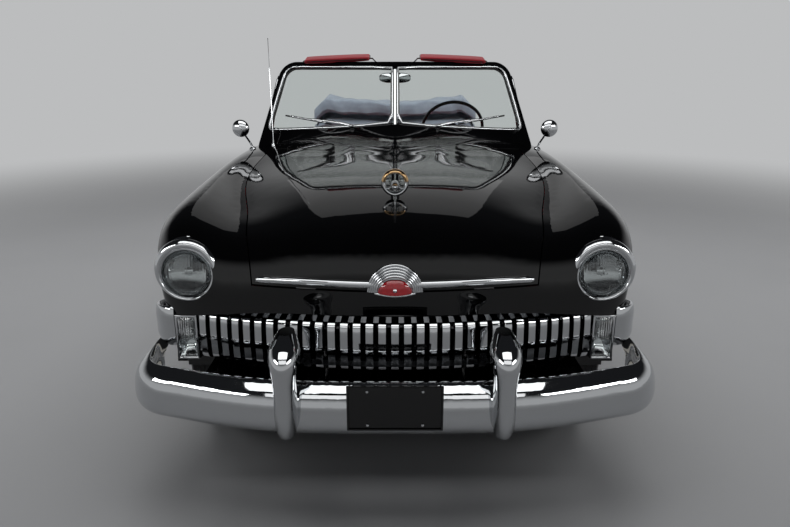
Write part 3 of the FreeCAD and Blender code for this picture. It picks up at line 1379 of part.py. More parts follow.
def vent_window():
    lean_share = 0.225
    base = vent_base_height
    outline = [(-car.vent_front, base), (-car.vent_rear, base), (-car.vent_top_rear, vent_top),
               (-car.vent_top_front, vent_top)]
    points = [vector(vent_place - lean_share * (height - base), along, height) for along, height in outline]
    face = Part.Face(Part.makePolygon(points + points[:1]))
    inner = face.makeOffset2D(-car.vent_frame)
    solid = face.cut(inner).extrude(vector(car.vent_frame, 0, 0))
    stem = solid_box((vent_place, vent_place + car.vent_frame),
                     (-car.vent_front + car.vent_frame, -car.vent_rear - car.vent_frame),
                     (base - 3 * car.vent_frame, base + car.vent_frame / 2))
    above_door = solid.fuse(stem).cut(door).Solids
    return max(above_door, key=lambda item: item.CenterOfMass.z)


vent_solid = vent_window()
keep(shaped("vent_window_left", vent_solid), "vent_window_left")
keep(shaped("vent_window_right", mirror_copy(vent_solid)), "vent_window_right")


# Door pillars: a hinge post and a lock post behind the outer skin, and the flange that a door shuts against

def side_post(y_range):
    face = patch(cabin_rows_share, (door_top_share, 1))
    inner_face = face.makeOffsetShape(car.skin + car.seat_gap, offset_tolerance_share * car.skin)
    slab = inner_face.extrude(vector(-car.door_thick, 0, 0))
    return slab.common(solid_box((0, wide), y_range, (car.sill_top + car.seat_gap, tall)))


def door_flange():
    face = patch(cabin_rows_share, (door_top_share, 1))
    face.translate(vector(-car.door_thick - car.seat_gap, 0, 0))
    slab = face.extrude(vector(-car.flange_depth, 0, 0))
    start = door_end - car.post_depth
    return slab.common(solid_box((0, wide), (start, door_end + car.door_gap + car.post_depth),
                                 (car.sill_top + car.seat_gap, tall)))


sill_room = solid_box((0, floor_half_width + 3 * car.clearance + car.seat_gap), (-half_length, half_length),
                      (0, floor_low + car.floor_thick + car.seat_gap))
hinge_post = side_post((door_start - car.door_gap - car.post_depth, door_start - car.door_gap))
lock_post = side_post((door_end + car.door_gap, door_end + car.door_gap + car.post_depth))
lock_post = lock_post.fuse(door_flange())
hinge_post = hinge_post.multiFuse([hinge_strap(level) for level in strap_levels])
posts = [post.cut(sill_room) for post in (hinge_post, lock_post)]
keep(shaped("door_posts", Part.makeCompound(posts + [mirror_copy(post) for post in posts])), "door_posts")


# Dashboard and steering

dash_block = under_surface((0.4, 0.52), (0.28, 0.72), 0, car.belt_height)
dash_front = -car.door_front - car.door_gap + car.seat_gap
dash_block = dash_block.common(solid_box((-dash_half_width, dash_half_width),
                                         (dash_front, dash_front + car.dash_depth), (dash_bottom, tall)))
dash_block = dash_block.cut(frame_solid)
keep(shaped("dashboard", dash_block), "dashboard")

column_angle = math.radians(car.steering_angle)
column_way = vector(0, -math.cos(column_angle), -math.sin(column_angle))
wheel_spot = vector(car.steering_offset, -car.steering_setback, steering_hub)
hub_depth = 2 * car.column_radius


def steering_wheel():
    rim = Part.makeTorus(car.steering_radius - car.steering_rim, car.steering_rim, wheel_spot, column_way)
    hub_start = wheel_spot - column_way * (hub_depth / 4)
    hub = Part.makeCylinder(car.column_radius, hub_depth, hub_start, column_way)
    spokes = []
    for turn in (90, 210, 330):
        way = vector(0, 0, 1).cross(column_way).normalize()
        way = FreeCAD.Rotation(column_way, turn).multVec(way)
        spokes.append(Part.makeCylinder(car.steering_rim / 2, car.steering_radius - car.steering_rim,
                                        wheel_spot, way))
    return rim.multiFuse([hub] + spokes)


keep(shaped("steering_wheel", steering_wheel()), "steering_wheel")

column_start = wheel_spot + column_way * (0.75 * hub_depth + car.seat_gap)
column_length = (column_start.y - firewall_back - car.column_radius) / math.cos(column_angle)
column_solid = Part.makeCylinder(car.column_radius, column_length, column_start, column_way)
bracket_y = dash_front + car.dash_depth / 2
bracket_drop = (wheel_spot.y - bracket_y) * math.tan(column_angle)
bracket = solid_box((car.steering_offset - car.column_radius, car.steering_offset + car.column_radius),
                    (bracket_y - car.column_radius, bracket_y + car.column_radius),
                    (steering_hub - bracket_drop, dash_bottom - car.seat_gap))
keep(shaped("steering_column", column_solid.fuse(bracket)), "steering_column")


# Seats

seat_floor = f"({floor_top_place} + car.seat_gap)"


def bench(name, half, start, base, height, depth, top):
    cushion = box(name + "_cushion", (f"-{half}", half), (start, f"{start} + {depth}"),
                  (base, f"{base} + {height}"))
    back = box(name + "_back", (f"-{half}", half),
               (f"{start} + {depth} - car.seat_back_thick", f"{start} + {depth}"), (base, top))
    return joined(name, [cushion, back])


seat_top_place = "(car.belt_height - car.seat_back_drop)"
keep(bench("front_seat", "(car.body_width / 2 - car.seat_inset)", "car.front_seat_start", seat_floor,
           "car.seat_height", "car.seat_depth", seat_top_place), "front_seat")
rear_seat_floor = f"({floor_top_place} + car.rear_floor_rise + car.seat_gap)"
rear_seat_half = "(car.rear_track / 2 - car.tyre_width / 2 - car.rear_seat_gap)"
keep(bench("rear_seat", rear_seat_half, "car.rear_seat_start", rear_seat_floor,
           "car.rear_cushion_height", "car.rear_seat_depth", seat_top_place), "rear_seat")


# Side trims beside the rear seat

trim_low = f"{floor_top_place} + car.seat_gap"
house_top = "(car.tyre_radius + car.wheelhouse_radius + car.skin + car.seat_gap)"
trim_inner = "((car.body_width / 2 - car.seat_inset) + car.clearance)"
trim_outer = f"({trim_inner} + car.side_trim_thick)"
trim_start = "(car.door_length - car.door_front + car.door_gap + car.post_depth + car.seat_gap)"
house_start = f"({rear_axle_place} - car.wheelhouse_radius - car.clearance - car.seat_gap)"
trim_top_place = "(car.belt_height - car.trim_drop)"
trim_front = box("trim_front", (trim_inner, trim_outer), (trim_start, house_start),
                 (trim_low, trim_top_place))
trim_over = box("trim_over", (trim_inner, trim_outer),
                (house_start, "car.rear_seat_start + car.rear_seat_depth"), (house_top, trim_top_place))
keep(both_sides("side_trims", joined("trim_half", [trim_front, trim_over])), "side_trims")


# Well for the folded top, behind the rear seat

well_start = "(car.rear_seat_start + car.rear_seat_depth + car.seat_gap)"
bulkhead = box("bulkhead", (f"-{rear_seat_half}", rear_seat_half),
               (well_start, f"{well_start} + car.skin"), (rear_seat_floor, f"{house_top} + car.skin"))
shelf = box("shelf", (f"-{trim_outer}", trim_outer),
            (well_start, f"{well_start} + car.top_pile_depth"), (house_top, f"{house_top} + car.skin"))
keep(joined("top_well", [bulkhead, shelf]), "top_well")


# Sections of the pile across the car: shares of its half width and of its height.
pile_section_shares = [(-1, 0.62), (-0.86, 0.86), (-0.4, 0.98), (0.4, 0.98), (0.86, 0.86), (1, 0.62)]
# Where the pile's crown starts and ends along the car, and how far it falls to the front and the rear.
pile_crown_shares = (0.30, 0.70)
pile_fall_shares = (0.20, 0.25)


def folded_top():
    """A plain pile that falls away towards the sides."""
    base = car.tyre_radius + car.wheelhouse_radius + 2 * car.skin + 2 * car.seat_gap
    start = car.rear_seat_start + car.rear_seat_depth + car.clearance
    end = car.rear_seat_start + car.rear_seat_depth + car.top_pile_depth - car.clearance
    depth = end - start
    rise = top_pile_height - base
    sections = []
    for across_share, height_share in pile_section_shares:
        x = across_share * top_pile_half_width
        crown = base + height_share * rise
        points = [vector(x, start, base), vector(x, start, crown - pile_fall_shares[0] * rise),
                  vector(x, start + pile_crown_shares[0] * depth, crown),
                  vector(x, start + pile_crown_shares[1] * depth, crown),
                  vector(x, end, crown - pile_fall_shares[1] * rise), vector(x, end, base)]
        sections.append(Part.makePolygon(points + points[:1]))
    return Part.makeLoft(sections, True, True)


keep(shaped("folded_top", folded_top()), "folded_top")


# Header fittings

header_top = frame_solid.optimalBoundingBox().ZMax
visor = solid_box((car.visor_gap / 2, car.visor_gap / 2 + car.visor_width),
                  (-car.visor_place, -car.visor_place + car.visor_height),
                  (header_top + car.seat_gap, header_top + car.seat_gap + car.visor_thick))
keep(shaped("sun_visors", Part.makeCompound([visor, mirror_copy(visor)])), "sun_visors")


def side_mirror():
    foot = vector(mirror_foot_side, -car.mirror_foot_place, 0)
    foot.z = surface_height(foot.x, foot.y)
    head = vector(mirror_head_side, -car.mirror_head_place, mirror_head_height)
    stem_start = foot - vector(0, 0, car.clearance)
    stem = Part.makeCylinder(car.mirror_stem_radius, head.distanceToPoint(stem_start), stem_start,
                             head - stem_start)
    base = Part.makeCylinder(3 * car.mirror_stem_radius, 2 * car.clearance, stem_start, vector(0, 0, 1))
    cup_start = head - vector(0, car.mirror_radius / 4, 0)
    cup = Part.makeCylinder(car.mirror_radius, car.mirror_radius / 2, cup_start, vector(0, 1, 0))
    solid = stem.multiFuse([base, cup])
    return solid.cut(under_surface((0.3, 0.6), (0.7, 0.95), 0, car.belt_height))


side_mirror_solid = side_mirror()
inside_mirror = solid_box((-car.mirror_radius * 2, car.mirror_radius * 2),
                          (-car.inside_mirror_place, -car.inside_mirror_place + car.clearance),
                          (inside_mirror_height - car.mirror_radius / 2,
                           inside_mirror_height + car.mirror_radius / 2))
pane_slab = thickened(outer_face, pane_normal, car.frame_depth)
mirror_spot = vector(0, -car.inside_mirror_place, inside_mirror_height)
inside_stem = Part.makeCylinder(car.mirror_stem_radius, car.windshield_top_centre, mirror_spot,
                                vector(0, -1, 0))
inside_stem = inside_stem.cut(pane_slab).cut(mirror_copy(pane_slab))
inside_stem = max(inside_stem.Solids, key=lambda solid: solid.CenterOfMass.y)
mirror_solids = [side_mirror_solid, mirror_copy(side_mirror_solid), inside_mirror.fuse(inside_stem)]
keep(shaped("mirrors", Part.makeCompound(mirror_solids)), "mirrors")


def antenna():
    foot = vector(-antenna_side, -car.antenna_place, 0)
    foot.z = surface_height(foot.x, foot.y)
    mast = Part.makeCylinder(car.antenna_radius, antenna_top - foot.z, foot)
    base = Part.makeCylinder(4 * car.antenna_radius, 3 * car.clearance, foot - vector(0, 0, car.clearance))
    return mast.fuse(base).cut(under_surface((0.3, 0.6), (0.1, 0.4), 0, car.belt_height))


keep(shaped("antenna", antenna()), "antenna")


def wiper(side):
    pivot = vector(side * car.wiper_pivot_side, -car.wiper_pivot_place, 0)
    pivot.z = surface_height(pivot.x, pivot.y)
    post_top = pivot + vector(0, 0, 3 * car.clearance)
    post = Part.makeCylinder(2 * car.wiper_radius, 4 * car.clearance, pivot - vector(0, 0, car.clearance))
    tip_share = 0.8
    base_centre = vector(0, -car.windshield_base_centre, glass_base_centre)
    base_corner = vector(side * windshield_base_width, -car.windshield_base_corner, glass_base_corner)
    ahead = vector(0, -car.frame_depth - car.wiper_radius, car.frame_border / 2)
    tip = base_centre + (base_corner - base_centre) * tip_share + ahead
    arm = Part.makeCylinder(car.wiper_radius, post_top.distanceToPoint(tip), post_top, tip - post_top)
    return post.fuse(arm).cut(under_surface((0.3, 0.6), (0.2, 0.8), 0, car.belt_height)).cut(frame_solid)


keep(shaped("wipers", Part.makeCompound([wiper(1), wiper(-1)])), "wipers")


# Hood trim: ornament, lip moulding and badge plate

# Shares of the ornament's radius: the lift of its ring and the reach of the bridge under it.
ornament_rise_share = 1.15
bridge_reach_share = 1.45
# Shares of the ornament's tube: the tail of the bullet and the bridge.
bullet_tail_share = 1.6
bridge_radius_share = 0.7
# The strip's ends across the body and its height in gaps, and the badge's height as a share of the rows.
strip_ends_share = (0.31, 0.69)
strip_height_share = 2.5
badge_height_share = 0.03


def hood_trim():
    place = vector(0, -ornament_place, 0)
    place.z = surface_height(0, place.y)
    middle = place + vector(0, 0, ornament_rise_share * car.ornament_radius)
    ring = Part.makeTorus(car.ornament_radius - car.ornament_tube, car.ornament_tube, middle, vector(0, 1, 0))
    bullet = Part.makeCone(car.ornament_tube, bullet_tail_share * car.ornament_tube, 2 * car.ornament_radius,
                           middle - vector(0, car.ornament_radius, 0), vector(0, 1, 0))
    bridge_reach = bridge_reach_share * car.ornament_radius
    bridge = Part.makeCylinder(bridge_radius_share * car.ornament_tube, bridge_reach + car.ornament_radius,
                               middle - vector(0, 0, bridge_reach))
    ornament = ring.fuse(bridge).fuse(bullet)
    ornament = ornament.cut(under_surface((0.05, 0.3), (0.4, 0.6), 0, car.belt_height))
    strip_start = lip_share + lip_gap_share
    strip = skin_panel((strip_start, strip_start + strip_height_share * lip_gap_share), strip_ends_share,
                       -car.lip_bar_radius)
    badge_half = car.emblem_width / 2 / column_width
    badge = skin_panel((strip_start, strip_start + badge_height_share),
                       (0.5 - badge_half, 0.5 + badge_half), -2 * car.lip_bar_radius)
    return Part.makeCompound([ornament, strip.fuse(badge)])


keep(shaped("hood_trim", hood_trim()), "hood_trim")


# Tail lamps

def tail_lamp():
    lamp = Part.makeCylinder(car.tail_lamp_radius, 4 * car.clearance + car.bumper_depth,
                             vector(tail_lamp_side, tail_lamp_place, tail_lamp_height),
                             vector(0, 1, 0))
    body = patch((0.8, 1), (0.7, 1)).extrude(vector(0, -half_length / 2, 0))
    return lamp.cut(body)


tail_lamp_solid = tail_lamp()
keep(shaped("tail_lamps", Part.makeCompound([tail_lamp_solid, mirror_copy(tail_lamp_solid)])), "tail_lamps")


# Check every object, then write the pieces

doc.recompute()
problems = [item.Name for item in doc.Objects if {"Invalid", "Error"} & set(item.State)]
problems += [item.Label for item in pieces if item.Shape.isNull() or not item.Shape.isValid()]
if problems:
    raise RuntimeError("pieces that failed: " + ", ".join(problems))

os.makedirs("parts", exist_ok=True)
for item in pieces:
    item.Shape.exportStep(f"parts/{item.Label}.step")
    print(item.Label, len(item.Shape.Solids))
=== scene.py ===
import math

import bmesh
import bpy
from mathutils import Matrix, Vector
from mathutils.bvhtree import BVHTree


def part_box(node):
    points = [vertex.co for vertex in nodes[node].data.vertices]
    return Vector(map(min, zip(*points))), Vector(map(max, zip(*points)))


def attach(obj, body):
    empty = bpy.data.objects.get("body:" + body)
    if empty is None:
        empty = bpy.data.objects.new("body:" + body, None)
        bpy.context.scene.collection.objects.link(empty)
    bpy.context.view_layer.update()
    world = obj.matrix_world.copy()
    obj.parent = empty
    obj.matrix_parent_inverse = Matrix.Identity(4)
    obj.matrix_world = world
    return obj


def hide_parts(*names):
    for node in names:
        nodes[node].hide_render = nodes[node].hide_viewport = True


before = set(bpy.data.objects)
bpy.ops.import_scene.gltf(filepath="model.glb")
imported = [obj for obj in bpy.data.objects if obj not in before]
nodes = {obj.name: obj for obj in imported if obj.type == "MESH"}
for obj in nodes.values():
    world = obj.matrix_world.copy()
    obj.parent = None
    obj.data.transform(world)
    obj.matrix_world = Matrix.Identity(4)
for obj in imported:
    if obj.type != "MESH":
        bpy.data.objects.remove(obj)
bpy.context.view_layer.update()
print("frame loaded with", len(nodes), "nodes")


# colours and materials

def hexColour(code):
    # sRGB hex to the linear values that Blender works in
    parts = [int(code[i:i + 2], 16) / 255 for i in (1, 3, 5)]
    linear = [p / 12.92 if p <= 0.04045 else ((p + 0.055) / 1.055) ** 2.4 for p in parts]
    return (*linear, 1.0)


def addNode(tree, kind, settings=None, inputs=None):
    node = tree.nodes.new(kind)
    for name, value in (settings or {}).items():
        setattr(node, name, value)
    for name, value in (inputs or {}).items():
        if isinstance(value, bpy.types.NodeSocket):
            tree.links.new(value, node.inputs[name])
        else:
            node.inputs[name].default_value = value
    return node


def startMaterial(name, values):
    material = bpy.data.materials.new(name)
    material.use_nodes = True
    tree = material.node_tree
    tree.nodes.clear()
    shader = addNode(tree, "ShaderNodeBsdfPrincipled", inputs=values)
    output = addNode(tree, "ShaderNodeOutputMaterial")
    tree.links.new(shader.outputs["BSDF"], output.inputs["Surface"])
    place = addNode(tree, "ShaderNodeTexCoord").outputs["Object"]
    return material, tree, shader, place


def noiseAt(tree, place, sizeMm, detail):
    # one wave of the noise is about sizeMm long
    return addNode(tree, "ShaderNodeTexNoise", inputs={
        "Vector": place, "Scale": 1000 / sizeMm, "Detail": detail}).outputs["Fac"]


def spread(tree, value, low, high):
    # a 0 to 1 value carried to a new range
    return addNode(tree, "ShaderNodeMapRange", inputs={
        "Value": value, "To Min": low, "To Max": high}).outputs["Result"]


def tinted(tree, value, first, second):
    ramp = addNode(tree, "ShaderNodeValToRGB", inputs={"Fac": value})
    ramp.color_ramp.elements[0].color = hexColour(first)
    ramp.color_ramp.elements[1].color = hexColour(second)
    return ramp.outputs["Color"]


def bumped(tree, shader, height, depthMm, strength):
    bump = addNode(tree, "ShaderNodeBump", inputs={
        "Height": height, "Distance": depthMm / 1000, "Strength": strength})
    tree.links.new(bump.outputs["Normal"], shader.inputs["Normal"])


def lacquer(name, light, dark):
    # nitrocellulose lacquer, rubbed out by hand: mirror gloss with the faintest orange peel and haze
    material, tree, shader, place = startMaterial(name, {"Roughness": 0.03, "IOR": 1.5})
    haze = noiseAt(tree, place, 180, 4)
    tree.links.new(tinted(tree, haze, dark, light), shader.inputs["Base Color"])
    tree.links.new(spread(tree, haze, 0.02, 0.045), shader.inputs["Roughness"])
    bumped(tree, shader, noiseAt(tree, place, 9, 1), 0.01, 0.1)
    return material


def chromePlate(name, colour="#C6C8CA", low=0.025, high=0.06):
    # decorative chrome over copper and nickel: near mirror, slightly blue, faint polishing haze
    material, tree, shader, place = startMaterial(name, {
        "Base Color": hexColour(colour), "Metallic": 1.0, "Roughness": low})
    tree.links.new(spread(tree, noiseAt(tree, place, 60, 4), low, high), shader.inputs["Roughness"])
    return material


def brightAluminium(name):
    # anodised and turned aluminium: softer than chrome, with fine rings that show as a light grain
    material, tree, shader, place = startMaterial(name, {
        "Base Color": hexColour("#C4C6C8"), "Metallic": 1.0, "Roughness": 0.22})
    grain = noiseAt(tree, place, 3, 4)
    tree.links.new(spread(tree, grain, 0.16, 0.3), shader.inputs["Roughness"])
    bumped(tree, shader, grain, 0.05, 0.2)
    return material


def clearGlass(name, colour="#F4FAF8", roughness=0.0):
    # laminated or pressed glass: clear, with a faint green cast
    material, tree, shader, place = startMaterial(name, {
        "Base Color": hexColour(colour), "Roughness": roughness, "IOR": 1.5, "Transmission Weight": 1.0})
    tree.links.new(spread(tree, noiseAt(tree, place, 90, 2), roughness, roughness + 0.004),
                   shader.inputs["Roughness"])
    return material


def satinPaint(name, light, dark, roughness=0.55):
    # chassis paint brushed over steel: satin, slightly uneven
    material, tree, shader, place = startMaterial(name, {"Roughness": roughness, "IOR": 1.5})
    mottled = noiseAt(tree, place, 40, 5)
    tree.links.new(tinted(tree, mottled, dark, light), shader.inputs["Base Color"])
    tree.links.new(spread(tree, mottled, roughness - 0.12, roughness + 0.12), shader.inputs["Roughness"])
    bumped(tree, shader, noiseAt(tree, place, 6, 3), 0.15, 0.3)
    return material


def rubber(name, light, dark, roughness=0.62):
    # vulcanised rubber: matt, fine mould texture
    material, tree, shader, place = startMaterial(name, {"Roughness": roughness, "IOR": 1.52})
    dust = noiseAt(tree, place, 25, 5)
    tree.links.new(tinted(tree, dust, dark, light), shader.inputs["Base Color"])
    bumped(tree, shader, noiseAt(tree, place, 2.5, 2), 0.12, 0.35)
    return material


def leather(name, light, dark):
    # dyed hide upholstery: soft sheen, pebbled grain of about 3 mm, drawn coarse enough to show
    material, tree, shader, place = startMaterial(name, {
        "Roughness": 0.42, "IOR": 1.48, "Sheen Weight": 0.15, "Sheen Roughness": 0.4})
    pebble = addNode(tree, "ShaderNodeTexVoronoi", {"feature": "F1"},
                     {"Vector": place, "Scale": 1000 / 3}).outputs["Distance"]
    cloud = noiseAt(tree, place, 120, 4)
    tree.links.new(tinted(tree, cloud, dark, light), shader.inputs["Base Color"])
    tree.links.new(spread(tree, cloud, 0.34, 0.5), shader.inputs["Roughness"])
    bumped(tree, shader, pebble, 0.35, 0.5)
    return material


def canvas(name, light, dark, threadMm=1.885):
    # coated cotton canvas: square weave, threads drawn about 2 mm apart so that they show
    material, tree, shader, place = startMaterial(name, {
        "Roughness": 0.85, "IOR": 1.45, "Sheen Weight": 0.3, "Sheen Roughness": 0.5})
    wave = 1000 / threadMm * math.tau / 20  # the wave node repeats 20 / tau times in a unit
    across = addNode(tree, "ShaderNodeTexWave", {"bands_direction": "X"},
                     {"Vector": place, "Scale": wave, "Distortion": 0.3}).outputs["Fac"]
    along = addNode(tree, "ShaderNodeTexWave", {"bands_direction": "Z"},
                    {"Vector": place, "Scale": wave, "Distortion": 0.3}).outputs["Fac"]
    weave = addNode(tree, "ShaderNodeMath", {"operation": "MULTIPLY"})
    tree.links.new(across, weave.inputs[0])
    tree.links.new(along, weave.inputs[1])
    fade = noiseAt(tree, place, 70, 5)
    tree.links.new(tinted(tree, fade, dark, light), shader.inputs["Base Color"])
    bumped(tree, shader, weave.outputs["Value"], 0.4, 0.6)
    return material


def enamel(name, light, dark, roughness=0.12):
    # vitreous enamel fired into metal: glassy colour with small depth changes
    material, tree, shader, place = startMaterial(name, {
        "Roughness": roughness, "IOR": 1.55, "Coat Weight": 0.5, "Coat Roughness": 0.03})
    cloud = noiseAt(tree, place, 12, 3)
    tree.links.new(tinted(tree, cloud, dark, light), shader.inputs["Base Color"])
    return material


blackLacquer = lacquer("black_lacquer", "#060607", "#030304")
chrome = chromePlate("chrome_plate")
bronzePlate = chromePlate("bronze_plate", "#C9A77C", 0.08, 0.16)
reflectorSilver = chromePlate("silvered_reflector", "#B9BBBD", 0.02, 0.05)
aluminium = brightAluminium("anodised_aluminium")
windowGlass = clearGlass("safety_glass")
lampGlass = clearGlass("pressed_lamp_glass", "#F4F7F6")
dialGlass = clearGlass("dial_glass", "#FAFBFA")
chassisPaint = satinPaint("chassis_paint", "#1D1D1F", "#121214")
tyreRubber = rubber("tyre_rubber", "#1B1B1C", "#121213")
whiteRubber = rubber("white_sidewall_rubber", "#E6E2D8", "#D8D2C6", 0.5)
sealRubber = rubber("window_seal_rubber", "#101011", "#0A0A0B", 0.5)
redLeather = leather("red_leather", "#A31526", "#86101F")
blackBinding = leather("black_binding", "#121213", "#0A0A0B")
topCanvas = canvas("top_canvas", "#B4BCCB", "#878F9E")
castIron = satinPaint("cast_iron", "#4A4A48", "#333332", 0.7)
carpet = canvas("dark_carpet", "#26262A", "#19191C", 2.5133)
redCarpet = canvas("red_loop_carpet", "#7A1420", "#5C0E18", 3.1416)
redLens = clearGlass("red_moulded_lens", "#C01018", 0.05)
redEnamel = enamel("red_enamel", "#8E0D16", "#6A070E")
dialEnamel = enamel("dial_enamel", "#E3DFD2", "#D8D3C4", 0.3)
blackPlastic = satinPaint("black_moulded_rim", "#0C0C0D", "#070708", 0.2)

print("materials made")

nodeFinish = {
    "antenna": chrome, "chassis_frame": chassisPaint, "cowl": blackLacquer, "dashboard": blackLacquer,
    "door_left": blackLacquer, "door_right": blackLacquer, "door_posts": blackLacquer,
    "engine_block": castIron, "exhaust": castIron, "firewall": blackLacquer, "floor_pan": redCarpet,
    "folded_top": topCanvas, "front_bumper": chrome, "front_fenders": blackLacquer,
    "front_plate": blackPlastic, "front_seat": redLeather, "front_suspension": chassisPaint,
    "fuel_tank": chassisPaint, "grille_bar": chrome, "grille_surround": blackLacquer,
    "headlamp_lenses": windowGlass, "headlamp_rims": chrome, "hood": blackLacquer, "hood_trim": chrome,
    "knuckle_left": chassisPaint, "knuckle_right": chassisPaint, "lamp_wraps": chrome, "mirrors": chrome,
    "nose_panel": blackLacquer, "parking_lamps": windowGlass, "quarter_panels": blackLacquer,
    "radiator": chassisPaint, "rear_axle": chassisPaint, "rear_bumper": chrome, "rear_deck": blackLacquer,
    "rear_seat": redLeather, "side_trims": redLeather, "sills": blackLacquer,
    "steering_column": blackPlastic, "steering_wheel": blackPlastic, "sun_visors": redLeather,
    "tail_lamps": redLens, "tail_panel": blackLacquer, "top_well": carpet, "trunk_lid": blackLacquer,
    "vent_window_left": chrome, "vent_window_right": chrome, "wheelhouses": chassisPaint,
    "windshield_frame": blackLacquer, "windshield_glass": windowGlass, "wipers": chrome,
}
wheelCorners = ("front_left", "front_right", "rear_left", "rear_right")
for corner in wheelCorners:
    nodeFinish["tyre_" + corner] = tyreRubber
    nodeFinish["wheel_" + corner] = chrome
for name, finish in nodeFinish.items():
    slots = nodes[name].data.materials
    slots.clear()
    slots.append(finish)


# shapes, worked in millimetres

mm = 0.001
rayStart = {"above": 1600, "ahead": -2800, "behind": 3200, "left": 1500}  # clear of the car


def boxOf(name):
    low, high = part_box(name)
    return Vector(low) / mm, Vector(high) / mm


def treeOf(*names):
    points, faces = [], []
    for name in names:
        start = len(points)
        points += [vert.co / mm for vert in nodes[name].data.vertices]
        faces += [[start + index for index in face.vertices] for face in nodes[name].data.polygons]
    return BVHTree.FromPolygons(points, faces)


def hitOn(tree, start, way):
    # the spot where a ray first meets the faces, or None
    return tree.ray_cast(Vector(start), Vector(way).normalized())[0]


def paint(builder, before, finish):
    # faces made since before take the finish with that number
    for face in builder.faces:
        if face not in before:
            face.material_index = finish


def formed(builder, across, along, shape, finish=0):
    # a grid whose points go to shape(u, v), both from 0 to 1
    before = set(builder.faces)
    grid = bmesh.ops.create_grid(builder, x_segments=across, y_segments=along, size=0.5)
    for vert in grid["verts"]:
        vert.co = shape(vert.co.x + 0.5, vert.co.y + 0.5)
    paint(builder, before, finish)


def turned(builder, outline, centre, axis, steps=64, finish=0):
    # an outline of (radius, depth along the axis) turned a full circle
    before = set(builder.faces)
    axis = Vector(axis).normalized()
    side = axis.orthogonal().normalized()
    verts = [builder.verts.new(Vector(centre) + side * radius + axis * depth) for radius, depth in outline]
    edges = [builder.edges.new(pair) for pair in zip(verts, verts[1:])]
    bmesh.ops.spin(builder, geom=verts + edges, cent=Vector(centre), axis=axis, angle=math.tau,
                   steps=steps, use_merge=True)
    bmesh.ops.remove_doubles(builder, verts=builder.verts, dist=0.005)
    paint(builder, before, finish)


def blockOf(builder, centre, size, edge, finish=0, turn=None, segments=3):
    # a block with rounded edges
    before = set(builder.faces)
    made = bmesh.ops.create_cube(builder, size=1.0)["verts"]
    bmesh.ops.scale(builder, vec=Vector(size), verts=made)
    edges = list({line for vert in made for line in vert.link_edges})
    bmesh.ops.bevel(builder, geom=edges, offset=edge, segments=segments, profile=0.5, affect="EDGES",
                    material=-1)
    made = list({vert for face in builder.faces if face not in before for vert in face.verts})
    if turn:
        bmesh.ops.rotate(builder, verts=made, cent=Vector((0, 0, 0)), matrix=turn)
    bmesh.ops.translate(builder, verts=made, vec=Vector(centre))
    paint(builder, before, finish)


def lineAt(points, share):
    # a smooth line through the points, share from 0 to 1
    spot = min(max(share, 0.0), 1.0) * (len(points) - 1)
    first = min(int(spot), len(points) - 2)
    part = spot - first
    p1, p2 = points[first], points[first + 1]
    p0 = points[first - 1] if first else p1 * 2 - p2
    p3 = points[first + 2] if first + 2 < len(points) else p2 * 2 - p1
    return 0.5 * (p1 * 2 + (p2 - p0) * part + (p0 * 2 - p1 * 5 + p2 * 4 - p3) * part ** 2
                  + (p1 * 3 - p0 - p2 * 3 + p3) * part ** 3)


def swept(builder, points, section, up, steps, taper=None, finish=0):
    # a closed section of (across, height) carried along a smooth line; up is a way or a function of share
    points = [Vector(point) for point in points]
    count = len(section)

    def shape(u, v):
        place = lineAt(points, v)
        along = (lineAt(points, v + 0.01) - lineAt(points, v - 0.01)).normalized()
        upward = Vector(up(v) if callable(up) else up)
        side = along.cross(upward).normalized()
        rise = side.cross(along)
        across, height = section[round(u * count) % count]
        size = taper(v) if taper else 1.0
        return place + (side * across + rise * height) * size

    formed(builder, count, steps, shape, finish)


def oval(width, height, count=12):
    return [(math.cos(math.tau * k / count) * width / 2, math.sin(math.tau * k / count) * height / 2)
            for k in range(count)]


def halfRound(width, height, count=8):
    # a crowned strip with a flat back
    arc = [(math.cos(math.pi * k / count) * width / 2, math.sin(math.pi * k / count) * height)
           for k in range(count + 1)]
    return arc + [(0, -1)]


def closeEnds(builder):
    bmesh.ops.remove_doubles(builder, verts=builder.verts, dist=0.02)
    rim = [edge for edge in builder.edges if edge.is_boundary]
    if rim:
        bmesh.ops.holes_fill(builder, edges=rim)


def bothSides(builder):
    bmesh.ops.mirror(builder, geom=list(builder.verts) + list(builder.edges) + list(builder.faces), axis="X")


def newPiece(name, builder, finishes, body, stands=(), sharpAngle=40):
    bmesh.ops.remove_doubles(builder, verts=builder.verts, dist=0.01)
    bmesh.ops.recalc_face_normals(builder, faces=builder.faces)
    bmesh.ops.scale(builder, vec=(mm, mm, mm), verts=builder.verts)
    mesh = bpy.data.meshes.new(name)
    builder.to_mesh(mesh)
    builder.free()
    for finish in finishes:
        mesh.materials.append(finish)
    mesh.shade_smooth()
    mesh.set_sharp_from_angle(angle=math.radians(sharpAngle))
    piece = bpy.data.objects.new(name, mesh)
    bpy.context.scene.collection.objects.link(piece)
    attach(piece, body)
    if stands:
        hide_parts(*stands)
    return piece


# wheels and tyres

